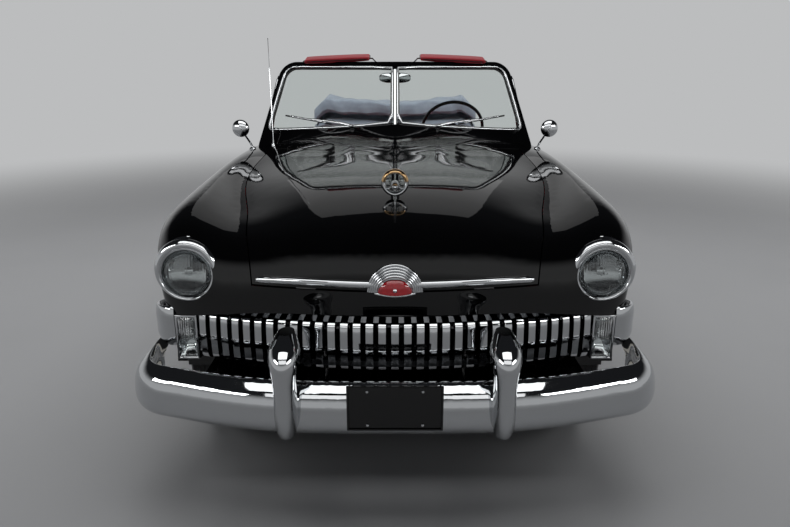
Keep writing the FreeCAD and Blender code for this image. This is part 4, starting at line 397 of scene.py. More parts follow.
tyre = {
    "steps": 96,
    "whiteInner": 214,
    "whiteOuter": 292,
    "ribRadii": (354.6, 354.8),  # at the start and at the end of each rib
    "grooveDepth": 7,
    "grooveShares": (0.015, 0.008, 0.042),  # the rib's edge, and where the groove's floor starts and ends
    "zigzag": 3.5,
    "zigzagFrom": 346,
    "zigzagShare": 0.6,
    # half of the outline: radius and share of half the width, from the bead to the middle of the tread
    "outline": [(190.6, 0.69), (197, 0.74), (206, 0.82), (213, 0.90), (214, 0.915), (216, 0.925),
                (235, 0.972), (255, 0.993), (275, 0.985), (290, 0.962), (292, 0.95), (294, 0.935),
                (310, 0.885), (325, 0.80), (337, 0.735), (345, 0.70), (351, 0.665)],
    "ribs": (0.62, 0.40, 0.35, 0.15, 0.10, 0.0),
}
wheel = {
    "steps": 96,
    # radius and place along the axle from the tyre's middle, from the back of the hub to the cover's middle
    "rim": [(17, -17), (60, -17), (62, -62), (138, -64), (140, -60), (140, -24), (158, -20), (164, -52),
            (176, -62), (182, -69), (189, -69), (189.5, -64), (184, -58), (174, -40), (166, -10), (166, 30),
            (176, 48), (183, 58), (189.5, 64), (189.5, 70), (186, 71)],
    "cover": [(186, 70), (187, 76), (183, 80), (176, 79), (171, 74), (166, 76), (152, 86), (148, 87),
              (146, 84), (132, 88), (112, 93), (109, 97), (104, 98), (101, 95), (92, 94), (78, 97),
              (66, 103), (62, 104)],
    "cap": [(62, 104), (58, 103), (54, 105), (40, 109), (20, 111.6), (0, 112)],
    "vents": 24,
    "ventPlace": (91, 122),
    "ventSize": (9, 7, 19),
}


def makeTyre(corner, centre, side):
    builder = bmesh.new()
    low, high = boxOf("tyre_" + corner)
    half = (high.x - low.x) / 2
    outer = [(radius, side * half * share) for radius, share in tyre["outline"]]
    startRadius, endRadius = tyre["ribRadii"]
    floorRadius = endRadius - tyre["grooveDepth"]
    edge, floorStart, floorEnd = tyre["grooveShares"]
    crown = []
    for first, second in zip(tyre["ribs"][::2], tyre["ribs"][1::2]):
        # each rib starts and ends at a groove
        crown += [(startRadius, side * half * (first + edge)), (endRadius, side * half * second)]
        if second:
            crown += [(floorRadius, side * half * (second - floorStart)),
                      (floorRadius, side * half * (second - floorEnd))]
    inner = [(radius, -across) for radius, across in reversed(outer + crown[:-1])]
    turned(builder, outer + crown + inner, centre, (1, 0, 0), tyre["steps"])
    for vert in builder.verts:
        radial = Vector((0, vert.co.y - centre.y, vert.co.z - centre.z))
        across = abs(vert.co.x - centre.x)
        if radial.length > tyre["zigzagFrom"] and across < tyre["zigzagShare"] * half:
            # the grooves run in a zigzag round the tread
            turn = math.atan2(radial.z, radial.y)
            vert.co.x += tyre["zigzag"] * (1 if round(turn / math.tau * tyre["steps"]) % 2 else -1)
    for face in builder.faces:
        spot = face.calc_center_median() - centre
        reach = Vector((0, spot.y, spot.z)).length
        if spot.x * side > 0 and tyre["whiteInner"] < reach < tyre["whiteOuter"]:
            face.material_index = 1
    newPiece(f"tyre_rubber_{corner}", builder, [tyreRubber, whiteRubber], "wheel_" + corner,
             ["tyre_" + corner], 30)


def makeWheel(corner, centre, side):
    builder = bmesh.new()
    for part, finish in (("rim", 1), ("cover", 0), ("cap", 2)):
        turned(builder, [(radius, side * place) for radius, place in wheel[part]], centre, (1, 0, 0),
               wheel["steps"], finish)
    along, reach = wheel["ventPlace"]
    for index in range(wheel["vents"]):
        # pressed flutes round the cover
        turn = Matrix.Rotation(math.tau * index / wheel["vents"], 3, "X")
        blockOf(builder, centre + turn @ Vector((side * along, 0, reach)), wheel["ventSize"], 3, 0, turn, 2)
    newPiece(f"wheel_disc_{corner}", builder, [chrome, chassisPaint, aluminium], "wheel_" + corner,
             ["wheel_" + corner], 30)


for corner in wheelCorners:
    low, high = boxOf("tyre_" + corner)
    middle = (low + high) / 2
    side = 1 if middle.x > 0 else -1
    makeTyre(corner, middle, side)
    makeWheel(corner, middle, side)
print("wheels made")


# headlamps: pressed glass over a silvered bowl, in a chrome rim

headlamp = {
    "gap": 0.3,
    "glassThick": 4.5,
    "bulge": 24,
    "flutePitch": 9.5,
    "fluteDepth": 1.3,
    "barPitch": 40,
    "grid": 64,
    # the bowl: share of the lens radius and depth behind the front of the lens
    "bowl": [(0.975, 32), (0.93, 46), (0.80, 58), (0.60, 68), (0.38, 74), (0.20, 76), (0.0, 76)],
    "bowlThick": 1.2,
    "shield": [(0.0, 40), (10, 41), (15, 45), (16, 52), (15, 52.5), (12, 46)],
    "leg": [(14, 50), (26, 62), (34, 74)],  # reach from the middle, and depth
    "legThick": 2.2,
    "seat": [(87.2, 17), (89.5, 12), (92.0, 11), (93.6, 13), (93.8, 20)],
}
lensLow, lensHigh = boxOf("headlamp_lenses")
lensRadius = (lensHigh.z - lensLow.z) / 2
lampCentre = Vector((lensHigh.x - lensRadius, lensLow.y, (lensLow.z + lensHigh.z) / 2))


def makeHeadlamps():
    glass = bmesh.new()

    def disc(u, v, back):
        across, up = 2 * u - 1, 2 * v - 1
        radius = lensRadius - headlamp["gap"]
        x = across * math.sqrt(1 - up * up / 2) * radius
        z = up * math.sqrt(1 - across * across / 2) * radius
        reach = math.hypot(x, z) / lensRadius
        depth = headlamp["bulge"] * (0.55 * reach ** 2 + 0.45 * reach ** 6)
        if back:
            ribs = 0.5 + 0.5 * math.cos(math.tau * x / headlamp["flutePitch"])
            bars = 0.5 + 0.5 * math.cos(math.tau * z / headlamp["barPitch"])
            fade = min(1.0, max(0.0, (0.96 - reach) * 12))
            depth += headlamp["glassThick"] - fade * headlamp["fluteDepth"] * (ribs + 0.6 * bars ** 3)
        return lampCentre + Vector((x, depth, z))

    for back in (False, True):
        formed(glass, headlamp["grid"], headlamp["grid"], lambda u, v: disc(u, v, back))
    rims = [edge for edge in glass.edges if edge.is_boundary]
    bmesh.ops.bridge_loops(glass, edges=rims)
    bothSides(glass)
    newPiece("headlamp_glass", glass, [lampGlass], "root", ["headlamp_lenses"], 50)

    bowl = bmesh.new()
    dish = [(share * lensRadius, depth) for share, depth in headlamp["bowl"]]
    turned(bowl, dish, lampCentre, (0, 1, 0), 72)
    bmesh.ops.solidify(bowl, geom=list(bowl.faces), thickness=headlamp["bowlThick"])
    turned(bowl, headlamp["shield"], lampCentre, (0, 1, 0), 24, 1)
    for turn in (90, 210, 330):
        # three thin legs hold the shield in the bowl
        way = Vector((math.cos(math.radians(turn)), 0, math.sin(math.radians(turn))))
        leg = [lampCentre + way * reach + Vector((0, depth, 0)) for reach, depth in headlamp["leg"]]
        swept(bowl, leg, oval(headlamp["legThick"], headlamp["legThick"], 6), way.cross(Vector((0, 1, 0))), 4,
              finish=1)
    # the ring that the glass sits in
    turned(bowl, headlamp["seat"], lampCentre, (0, 1, 0), 72, 1)
    bothSides(bowl)
    newPiece("headlamp_bowls", bowl, [reflectorSilver, chrome], "root", (), 40)


makeHeadlamps()


# parking lamps at the ends of the grille

parkingLamp = {
    "width": 80,
    "border": 8,
    "frameDepth": 16,
    "frameSet": 9,
    "glassSet": 12,
    "glassThick": 2.5,
    "ribPitch": 8,
    "ribDepth": 1.6,
    "crown": 9,
    "bowlSet": 18,
    "bowlDepth": 36,
    "bulb": [(0, 20), (7, 22), (10, 29), (8, 38), (7, 50)],
}


def makeParkingLamps():
    low, high = boxOf("parking_lamps")
    low.x = high.x - parkingLamp["width"]
    middle = (low + high) / 2
    border = parkingLamp["border"]
    width, height = high.x - low.x - 2 * border, high.z - low.z - 2 * border
    builder = bmesh.new()

    def lens(u, v):
        # the glass bulges forward and carries upright ribs
        edge = (1 - (2 * u - 1) ** 4) * (1 - (2 * v - 1) ** 6)
        rib = math.cos(math.tau * u * width / parkingLamp["ribPitch"])
        proud = (parkingLamp["crown"] + parkingLamp["ribDepth"] * 0.5 * rib) * edge
        return Vector((low.x + border + u * width, low.y + parkingLamp["glassSet"] - proud,
                       low.z + border + v * height))

    formed(builder, 64, 20, lens, 0)
    bmesh.ops.solidify(builder, geom=list(builder.faces), thickness=parkingLamp["glassThick"])
    # frame: a rounded strip round the glass
    left, right, foot, top = low.x + border / 2, high.x - border / 2, low.z + border / 2, high.z - border / 2
    corners = [Vector((x, low.y + parkingLamp["frameSet"], z))
               for x, z in ((left, foot), (right, foot), (right, top), (left, top))]
    for start, end in zip(corners, corners[1:] + corners[:1]):
        span = end - start
        size = (abs(span.x) + border + 1, parkingLamp["frameDepth"], abs(span.z) + border + 1)
        blockOf(builder, (start + end) / 2, [max(side, border) for side in size], 3.5, 1)

    def bowl(u, v):
        # a dish behind the glass, with its bulb before it
        dish = (1 - (2 * u - 1) ** 4) * (1 - (2 * v - 1) ** 4)
        return Vector((low.x + border + u * width,
                       low.y + parkingLamp["bowlSet"] + parkingLamp["bowlDepth"] * dish,
                       low.z + border + v * height))

    formed(builder, 16, 24, bowl, 2)
    turned(builder, parkingLamp["bulb"], (middle.x, low.y, middle.z), (0, 1, 0), 20, 3)
    blockOf(builder, (middle.x, high.y - 3, middle.z), (width, 5, height), 2, 1)
    bothSides(builder)
    newPiece("parking_lamp_glass", builder, [lampGlass, chrome, reflectorSilver, dialGlass], "root",
             ["parking_lamps"], 45)


makeParkingLamps()


# hood trim: lip bar, badge with a red dome, ornament and centre bead

hoodTrim = {
    "reach": 470,
    "barWidth": 25,
    "barDepth": 12,
    "barRise": 22,
    "barFall": 6,
    "barProud": 3,
    "badgeDrop": 30,
    "badgeSide": 120,
    "badgeBack": 60,
    "badgeHalf": 92,
    "badgeHeight": 96,
    "fanRibs": 5,
    "domeHalf": 56,
    "domeHeight": 50,
    "ornamentRadius": 50,
    "ornamentTube": 8,
    "beadWidth": 7,
    "beadHeight": 3,
}
hoodTree = treeOf("hood")


def hoodTop(y):
    return hitOn(hoodTree, (0, y, rayStart["above"]), (0, 0, -1))


def hoodFace(x, z):
    return hitOn(hoodTree, (x, rayStart["ahead"], z), (0, 1, 0))


def makeHoodTrim():
    lipTop = boxOf("hood_trim")[0].z
    bar = bmesh.new()
    line = []
    for k in range(13):
        x = hoodTrim["reach"] * k / 12
        level = lipTop + hoodTrim["barRise"] - hoodTrim["barFall"] * (k / 12) ** 2
        line.append(hoodFace(x, level) - Vector((0, hoodTrim["barProud"], 0)))

    def rounded(share):
        # the outer end is drawn in to a blunt spear
        return min(1.0, 0.5 + 12 * (1 - share)) if share > 0.95 else 1.0

    swept(bar, line, oval(hoodTrim["barDepth"] * 1.4, hoodTrim["barWidth"], 16), (0, 0, 1), 60, rounded)
    closeEnds(bar)
    bothSides(bar)
    newPiece("hood_lip_bar", bar, [chrome], "hood", ["hood_trim"], 50)

    # badge: arched chrome ribs round a plain red dome
    badge = bmesh.new()
    low = line[0].z - hoodTrim["badgeDrop"]
    face = line[0].y

    def badgePlace(across, up, proud):
        # a spot ahead of the hood's face, or of the lip where the badge hangs below it
        side = math.copysign(min(abs(across), hoodTrim["badgeSide"]), across)
        place = hoodFace(side, max(low + up, lipTop + 4))
        back = place.y if place else face
        return Vector((across, min(back, face + hoodTrim["badgeBack"]) - proud, low + up))

    for rib in range(hoodTrim["fanRibs"]):
        share = rib / (hoodTrim["fanRibs"] - 1)
        half = hoodTrim["domeHalf"] + 6 + share * (hoodTrim["badgeHalf"] - hoodTrim["domeHalf"] - 10)
        height = hoodTrim["domeHeight"] + 6 + share * (hoodTrim["badgeHeight"] - hoodTrim["domeHeight"] - 10)
        arch = []
        for k in range(13):
            turn = math.pi * k / 12
            arch.append(badgePlace(half * math.cos(turn), 6 + height * math.sin(turn), 9 - 4 * share))
        swept(badge, arch, oval(9, 10, 10), (0, -1, 0.4), 48)

    def ground(u, v):
        turn = math.pi * u
        half = 40 + v * (hoodTrim["badgeHalf"] - 44)
        height = 34 + v * (hoodTrim["badgeHeight"] - 42)
        return badgePlace(half * math.cos(turn), 5 + height * math.sin(turn), 4 - 2 * v)

    formed(badge, 40, 6, ground)
    sill = [badgePlace(across * hoodTrim["badgeHalf"] * 0.72, 2 - 9 * (1 - across * across), 9)
            for across in (-1, -0.5, 0, 0.5, 1)]
    swept(badge, sill, oval(8, 8, 10), (0, -1, 0), 30)

    def dome(u, v):
        turn = math.pi * u
        half = hoodTrim["domeHalf"] * v
        height = hoodTrim["domeHeight"] * v
        up = 3 + height * math.sin(turn) - 5 * (1 - abs(math.cos(turn)) * v)
        return badgePlace(half * math.cos(turn), up, 9 + 13 * math.sqrt(max(0.0, 1 - v * v)))

    formed(badge, 36, 12, dome, 1)
    centre = badgePlace(0, 16, 22)
    turned(badge, [(0, -4), (5, -3), (7, 0), (7.5, 4)], centre, (0, 1, 0), 20, 0)
    closeEnds(badge)
    newPiece("hood_badge", badge, [chrome, redEnamel], "hood", (), 50)

    # ornament: a ring with a bullet in it, over a low spine
    ornament = bmesh.new()
    seat = hoodTop(boxOf("hood_trim")[1].y - 50)
    radius = hoodTrim["ornamentRadius"]
    tube = hoodTrim["ornamentTube"]
    ringCentre = seat + Vector((0, 0, radius * 1.12))

    def ring(u, v):
        turn = math.tau * v
        out = Vector((math.cos(turn), 0, math.sin(turn)))
        swell = 1.0 + 0.55 * max(0.0, math.sin(turn))
        ringTurn = math.tau * u
        return (ringCentre + out * (radius - tube + tube * math.cos(ringTurn))
                + Vector((0, 1.7 * tube * swell * math.sin(ringTurn), 0)))

    formed(ornament, 20, 64, ring, 0)
    for face in ornament.faces:
        # the upper part of the ring is bronze
        if face.calc_center_median().z > ringCentre.z + 4:
            face.material_index = 1
    bullet = [(0, -62), (5, -56), (10, -44), (14, -26), (16, -6), (15, 14), (11, 34), (6, 52), (0, 66)]
    turned(ornament, bullet, ringCentre - Vector((0, 0, 8)), (0, 1, 0), 32, 0)
    for side in (-1, 1):
        wing = [ringCentre + Vector((side * 8, 4, -10)), ringCentre + Vector((side * 24, 0, -20)),
                ringCentre + Vector((side * 40, -2, -16))]
        swept(ornament, wing, oval(7, 20, 10), (0, 1, 0), 12)
    spine = [hoodTop(seat.y + along) + Vector((0, 0, 2)) for along in (-90, -45, 0, 60, 120, 170)]
    swept(ornament, spine, oval(12, 12, 10), (0, 0, 1), 40,
          lambda share: 0.25 + 0.75 * math.sin(math.pi * share))
    fin = [spine[0], seat + Vector((0, 0, 14)), seat + Vector((0, 30, 24)), seat + Vector((0, 80, 10))]
    swept(ornament, fin, oval(9, 22, 10), (0, 0, 1), 24, lambda share: 0.2 + 0.8 * math.sin(math.pi * share))
    closeEnds(ornament)
    newPiece("hood_ornament", ornament, [chrome, bronzePlate], "hood", (), 50)

    bead = bmesh.new()
    hoodEnd = boxOf("cowl")[0].y
    for start, end in ((line[0].y + 95, seat.y - 90), (seat.y + 170, hoodEnd - 12)):
        crest = [hoodTop(start + (end - start) * k / 14) for k in range(15)]
        swept(bead, crest, halfRound(hoodTrim["beadWidth"], hoodTrim["beadHeight"]), (0, 0, 1), 80)
    closeEnds(bead)
    newPiece("hood_centre_bead", bead, [blackLacquer], "hood", (), 50)


makeHoodTrim()
print("lamps and hood trim made")


# front plate, blank

plate = {
    "border": 7,
    "boltRadius": 6,
    "boltSpan": (178, 121),
}


def makePlate():
    low, high = boxOf("front_plate")
    middle = (low + high) / 2
    builder = bmesh.new()
    size = high - low
    blockOf(builder, middle + Vector((0, 1.5, 0)), (size.x - 2, size.y - 5, size.z - 2), 2.5, 0)
    border = plate["border"]
    for up in (-1, 1):
        blockOf(builder, middle + Vector((0, -1, up * (size.z - border) / 2)),
                (size.x, size.y - 2, border), 2.5, 1)
    for across in (-1, 1):
        blockOf(builder, middle + Vector((across * (size.x - border) / 2, -1, 0)),
                (border, size.y - 2, size.z), 2.5, 1)
        for up in (-1, 1):
            bolt = middle + Vector((across * plate["boltSpan"][0] / 2, 0, up * plate["boltSpan"][1] / 2))
            turned(builder, [(0, -6), (plate["boltRadius"] * 0.7, -5.4), (plate["boltRadius"], -3), (6.2, 0)],
                   bolt + Vector((0, 0.4, 0)), (0, 1, 0), 18, 2)
    newPiece("plate_blank", builder, [blackPlastic, blackLacquer, chrome], "root",
             ["front_plate"], 40)


makePlate()


# windshield: chrome mouldings, rubber seals, wipers

windshield = {
    "probe": (350, -2000, 1300),
    "outlinePoints": 72,
    "outlineStep": 2.0,
    "frameFace": 18,
    "mouldingWidth": 17,
    "mouldingHeight": 8,
    "sealWidth": 12,
    "dividerWidth": 26,
    "dividerDepth": 16,
    "corner": 660,
    "lift": 34,
    "fairingReach": (235, 42),
    "fairingFlat": 220,
    "fairingEnd": 716,
}
wiper = {
    "pivotSide": 240,
    "pivot": [(19, -12), (19, 4), (14, 9), (9, 11), (8, 22), (11, 26), (11, 34), (7, 38), (0, 39)],
    "innerSide": 352,
    "outerSide": 622,
    "outerRise": 74,
    "lift": 24,
}
paneTree = treeOf("windshield_glass")
frameTree = treeOf("windshield_frame")


def makeWindshieldTrim():
    place, normal = paneTree.ray_cast(Vector(windshield["probe"]), Vector((0, 1, 0)))[:2]
    normal = normal if normal.y < 0 else -normal
    along = Vector((normal.y, -normal.x, 0)).normalized()
    along = along if along.x > 0 else -along
    rise = normal.cross(along)
    rise = rise if rise.z > 0 else -rise
    verts = [vert.co / mm for vert in nodes["windshield_glass"].data.vertices if vert.co.x > 0]
    middle = (place + along * (sum((vert - place).dot(along) for vert in verts) / len(verts))
              + rise * (sum((vert - place).dot(rise) for vert in verts) / len(verts)))
    # the outline as reach from the middle in each direction
    count = windshield["outlinePoints"]
    outline = []
    for k in range(count):
        turn = math.tau * k / count
        way = along * math.cos(turn) + rise * math.sin(turn)
        reach = 0.0
        while hitOn(paneTree, middle + way * (reach + windshield["outlineStep"]) + normal * 60, -normal):
            reach += windshield["outlineStep"]
        outline.append(middle + way * reach)

    def onPane(x, height):
        # the spot on the pane's plane at a place across the car and a height up the slope
        reach = (x - place.x - rise.x * height) / along.x
        return place + along * reach + rise * height

    def heightOf(spot):
        return (spot - place).dot(rise)

    # the lower moulding runs flatter than the pane, over a painted fairing
    corner = windshield["corner"]
    lowCentre = min(heightOf(spot) for spot in outline if spot.x < 120)
    lowCorner = min(heightOf(spot) for spot in outline if spot.x > corner - 120)

    def lowerLine(x):
        share = min(1.0, x / corner)
        return lowCentre + (lowCorner - lowCentre) * share + windshield["lift"] * share ** 1.5

    outline = [onPane(spot.x, max(heightOf(spot), lowerLine(spot.x))) for spot in outline]

    chromeLine = bmesh.new()
    width = windshield["mouldingWidth"]

    def closedLoop(builder, offset, section, lift, finish):
        ring = [spot + (spot - middle).normalized() * offset + normal * lift for spot in outline]
        size = len(ring)

        def shape(u, v):
            step = round(v * size)
            spot = ring[step % size]
            ahead = (ring[(step + 1) % size] - ring[(step - 1) % size]).normalized()
            outward = ahead.cross(normal).normalized()
            across, height = section[round(u * len(section)) % len(section)]
            return spot + outward * across + normal * height

        formed(builder, len(section), size, shape, finish)

    closedLoop(chromeLine, 5, halfRound(width, windshield["mouldingHeight"]), windshield["frameFace"], 0)
    closedLoop(chromeLine, -3, halfRound(windshield["sealWidth"], 5), 4, 1)
    bothSides(chromeLine)
    # divider between the panes
    low, high = boxOf("windshield_glass")
    ahead = windshield["probe"][1]
    foot = hitOn(frameTree, (0, ahead, low.z + 100), (0, 1, 0))
    head = hitOn(frameTree, (0, ahead, high.z - 30), (0, 1, 0))
    lean = (head - foot).normalized()
    bar = [foot - lean * 30, foot + lean * 100, (foot + head) / 2, head - lean * 20, head + lean * 26]
    crown = halfRound(windshield["dividerWidth"], windshield["dividerDepth"] / 2)
    swept(chromeLine, bar, crown, (0, -1, 0), 20)
    closeEnds(chromeLine)
    newPiece("windshield_mouldings", chromeLine, [chrome, sealRubber], "root", (), 50)

    # the cowl sweeps up to the moulding, far ahead of it in the middle and close to it at the sides
    fairing = bmesh.new()
    cowlTree = treeOf("cowl", "hood", "front_fenders")

    def cove(u, v):
        x = u * windshield["fairingEnd"]
        top = onPane(max(x, 1.0), lowerLine(x) - 4) + normal * (windshield["frameFace"] + 1)
        top.x = x
        share = min(1.0, max(0.0, (x - windshield["fairingFlat"]) / (corner - windshield["fairingFlat"])))
        share = share * share * (3 - 2 * share)
        reach = windshield["fairingReach"][0] * (1 - share) + windshield["fairingReach"][1] * share
        under = hitOn(cowlTree, (x, top.y, rayStart["above"]), (0, 0, -1))
        rise = top.z - (under.z if under else top.z - 70)
        y = top.y - reach * v
        ground = hitOn(cowlTree, (x, y, rayStart["above"]), (0, 0, -1))
        height = ground.z + 0.6 if ground else top.z - rise
        return Vector((x, y, height + rise * (1 - v) ** 2))

    formed(fairing, 60, 24, cove)
    bothSides(fairing)
    newPiece("cowl_fairing", fairing, [blackLacquer], "root", (), 60)

    def atPane(x, height, lift):
        return onPane(x, lowerLine(x) + height) + normal * lift

    return atPane


atPane = makeWindshieldTrim()


def makeWipers():
    # each blade lies near the foot of its pane, on an arm from a pivot below the moulding
    builder = bmesh.new()
    base = atPane(wiper["pivotSide"], -24, 14)
    up = Vector((0, -0.45, 0.9)).normalized()
    turned(builder, wiper["pivot"], base, up, 24)
    start = base + up * 30
    inner = atPane(wiper["innerSide"], 14, wiper["lift"])
    outer = atPane(wiper["outerSide"], wiper["outerRise"], wiper["lift"])
    middle = (inner + outer) / 2
    arm = [start, start.lerp(middle, 0.35) + Vector((0, -8, 8)),
           start.lerp(middle, 0.72) + Vector((0, -10, 8)), middle + Vector((0, -10, 3))]
    swept(builder, arm, oval(13, 7, 10), (0, -1, 0.3), 24, lambda share: 1.25 - 0.5 * share)
    swept(builder, [inner, middle, outer], oval(9, 11, 8), (0, -1, 0.3), 20, finish=1)
    bridge = [inner.lerp(outer, 0.12) + Vector((0, -5, 3)), middle + Vector((0, -12, 4)),
              inner.lerp(outer, 0.88) + Vector((0, -5, 3))]
    swept(builder, bridge, oval(9, 7, 8), (0, -1, 0.3), 20)
    closeEnds(builder)
    bothSides(builder)
    newPiece("wiper_arms", builder, [chrome, sealRubber], "root", ["wipers"], 50)


makeWipers()


# mirrors and antenna

mirror = {
    "headRadius": 47,
    "headDepth": 26,
    "insideWidth": 186,
    "insideHeight": 58,
}


def makeMirrors():
    builder = bmesh.new()
    spots = [vert.co / mm for vert in nodes["mirrors"].data.vertices]
    outer = [spot for spot in spots if spot.x > 600]
    foot = min(outer, key=lambda spot: spot.z)
    cup = [spot for spot in outer if spot.x > foot.x + 25]
    radius = mirror["headRadius"]
    head = Vector((max(spot.x for spot in outer) - radius - 1, min(spot.y for spot in outer) + 12,
                   max(spot.z for spot in cup) - radius - 1))
    depth = mirror["headDepth"]
    # the cup faces forward and the glass looks back
    back = [(0, -depth * 0.5), (radius * 0.3, -depth * 0.48), (radius * 0.6, -depth * 0.38),
            (radius * 0.85, -depth * 0.18), (radius * 0.97, 0), (radius, depth * 0.22),
            (radius * 0.97, depth * 0.3), (radius * 0.93, depth * 0.28)]
    turned(builder, back, head, (0, 1, 0), 48, 0)
    turned(builder, [(radius * 0.94, depth * 0.26), (0, depth * 0.25)], head, (0, 1, 0), 48, 1)
    elbow = Vector((foot.x + 6, foot.y + 10, foot.z + 26))
    stem = [Vector((foot.x, foot.y + 10, foot.z + 2)), elbow, elbow + (head - elbow) * 0.5,
            head + Vector((-6, -4, -8)), head + Vector((-2, -10, 0))]
    swept(builder, stem, oval(11, 11, 12), (0, 1, 0), 30)
    turned(builder, [(19, -4), (19, 2), (15, 6), (9, 9), (0, 10)], Vector((foot.x, foot.y + 10, foot.z + 4)),
           (0.25, 0, 1), 28, 0)
    turned(builder, [(0, -depth * 0.72), (7, -depth * 0.7), (9, -depth * 0.5), (9, -depth * 0.3)], head,
           (0, 1, 0), 20, 0)
    closeEnds(builder)
    bothSides(builder)
    # inside mirror on its stem from the header
    inner = [spot for spot in spots if abs(spot.x) < 200]
    innerTop = max(spot.z for spot in inner)
    innerBack = max(spot.y for spot in inner)
    centre = Vector((0, innerBack - 6, innerTop - 24))

    def shell(u, v):
        turn = math.tau * u
        across = abs(math.cos(turn)) ** 0.6 * math.copysign(1, math.cos(turn)) * mirror["insideWidth"] / 2
        up = abs(math.sin(turn)) ** 0.8 * math.copysign(1, math.sin(turn)) * mirror["insideHeight"] / 2
        size = min(1.0, 0.2 + 1.1 * v) if v < 0.75 else 1.0
        return centre + Vector((across * size, -14 + 20 * v, up * size))

    formed(builder, 48, 10, shell, 0)
    closeEnds(builder)
    for face in builder.faces:
        if len(face.verts) > 20 and face.calc_center_median().y > centre.y:
            face.material_index = 1
    post = [centre + Vector((0, -10, 0)), centre + Vector((0, -30, 16)), centre + Vector((0, -42, 34))]
    swept(builder, post, oval(11, 11, 10), (1, 0, 0), 12)
    closeEnds(builder)
    newPiece("mirror_heads", builder, [chrome, reflectorSilver], "root", ["mirrors"], 40)


makeMirrors()


def makeAntenna():
    builder = bmesh.new()
    low, high = boxOf("antenna")
    centre = Vector(((low.x + high.x) / 2, (low.y + high.y) / 2, low.z))
    length = high.z - low.z
    outline = [(12, 0), (12, 10), (9, 16), (6, 24), (5, 36), (3.2, 40), (3.2, 250), (2.4, 254), (2.4, 400),
               (1.7, 404), (1.7, length - 6), (3.0, length - 4), (0, length)]
    turned(builder, outline, centre, (0, 0, 1), 20)
    newPiece("antenna_mast", builder, [chrome], "root", ["antenna"], 40)


makeAntenna()
print("windshield and mirrors made")


# soft pieces: leather pads are blown up a little by a cloth simulation, then take their seams

softSettings = {
    "voxel": 14,
    "quality": 4,
    "mass": 0.3,
    "stretch": 12,
    "bend": 1.5,
    "pressure": 4.0,
    "lastFrame": 20,
    "cap": 26,
}


def applied(piece, modifier):
    # the modifier's result becomes the piece's mesh
    graph = bpy.context.evaluated_depsgraph_get()
    made = bpy.data.meshes.new_from_object(piece.evaluated_get(graph))
    piece.modifiers.remove(modifier)
    old = piece.data
    piece.data = made
    bpy.data.meshes.remove(old)


def simulated(piece, pinBelow):
    # the cover is held at its foot, pushed out by the padding and kept within the cap
    remesh = piece.modifiers.new("remesh", "REMESH")
    remesh.mode = "VOXEL"
    remesh.voxel_size = softSettings["voxel"] * mm
    applied(piece, remesh)
    start = [vert.co.copy() for vert in piece.data.vertices]
    cloth = piece.modifiers.new("cloth", "CLOTH")
    cloth.settings.quality = softSettings["quality"]
    cloth.settings.mass = softSettings["mass"]
    cloth.settings.tension_stiffness = softSettings["stretch"]
    cloth.settings.compression_stiffness = softSettings["stretch"]
    cloth.settings.bending_stiffness = softSettings["bend"]
    cloth.settings.use_pressure = True
    cloth.settings.uniform_pressure_force = softSettings["pressure"]
    cloth.settings.effector_weights.gravity = 0.0
    held = piece.vertex_groups.new(name="held")
    held.add([k for k, spot in enumerate(start) if spot.z < pinBelow * mm], 1.0, "REPLACE")
    cloth.settings.vertex_group_mass = "held"
    cloth.point_cache.frame_start = 1
    cloth.point_cache.frame_end = softSettings["lastFrame"]
    for step in range(1, softSettings["lastFrame"] + 1):
        bpy.context.scene.frame_set(step)
    applied(piece, cloth)
    limit = softSettings["cap"] * mm
    for vert, spot in zip(piece.data.vertices, start):
        move = vert.co - spot
        if move.length > limit:
            vert.co = spot + move * (limit / move.length)
    bpy.context.scene.frame_set(1)


def smoothedOnce(piece):
    smooth = piece.modifiers.new("subdivision", "SUBSURF")
    smooth.levels = 1
    smooth.render_levels = 1
    applied(piece, smooth)


def sewn(piece, groove):
    # groove(place, normal) is the depth of the seam at a spot, in mm
    mesh = piece.data
    normals = [vert.normal.copy() for vert in mesh.vertices]
    for vert, normal in zip(mesh.vertices, normals):
        vert.co -= normal * (groove(vert.co / mm, normal) * mm)
    mesh.shade_smooth()


def padPiece(name, builder, finishes, body, stands, groove, pinBelow):
    piece = newPiece(name, builder, finishes, body, stands, 60)
    simulated(piece, pinBelow)
    smoothedOnce(piece)
    sewn(piece, groove)
    if not piece.data.materials:
        piece.data.materials.append(finishes[0])


def seamAt(value, middle, width, depth):
    return depth * math.exp(-((value - middle) / width) ** 2)


bench = {
    "pleatPitch": 62,
    "pleatDepth": 7,
    "seamWidth": 6,
    "seamDepth": 8,
    "seamPlace": 90,
    "bolster": 120,
    "edge": 38,
    "shrink": 14,
    "backRise": 20,
    "heldCushion": 30,
    "heldBack": 60,
    "fill": 0.85,
}


def pleats(x, half):
    # channels across the middle of the seat, and a border seam round them
    inner = half - bench["bolster"]
    if abs(x) > inner + 3 * bench["seamWidth"]:
        return 0.0
    depth = seamAt(abs(x), inner, bench["seamWidth"], bench["seamDepth"])
    if abs(x) < inner:
        depth = max(depth, bench["pleatDepth"] * abs(math.cos(math.pi * x / bench["pleatPitch"])) ** 8)
    return depth


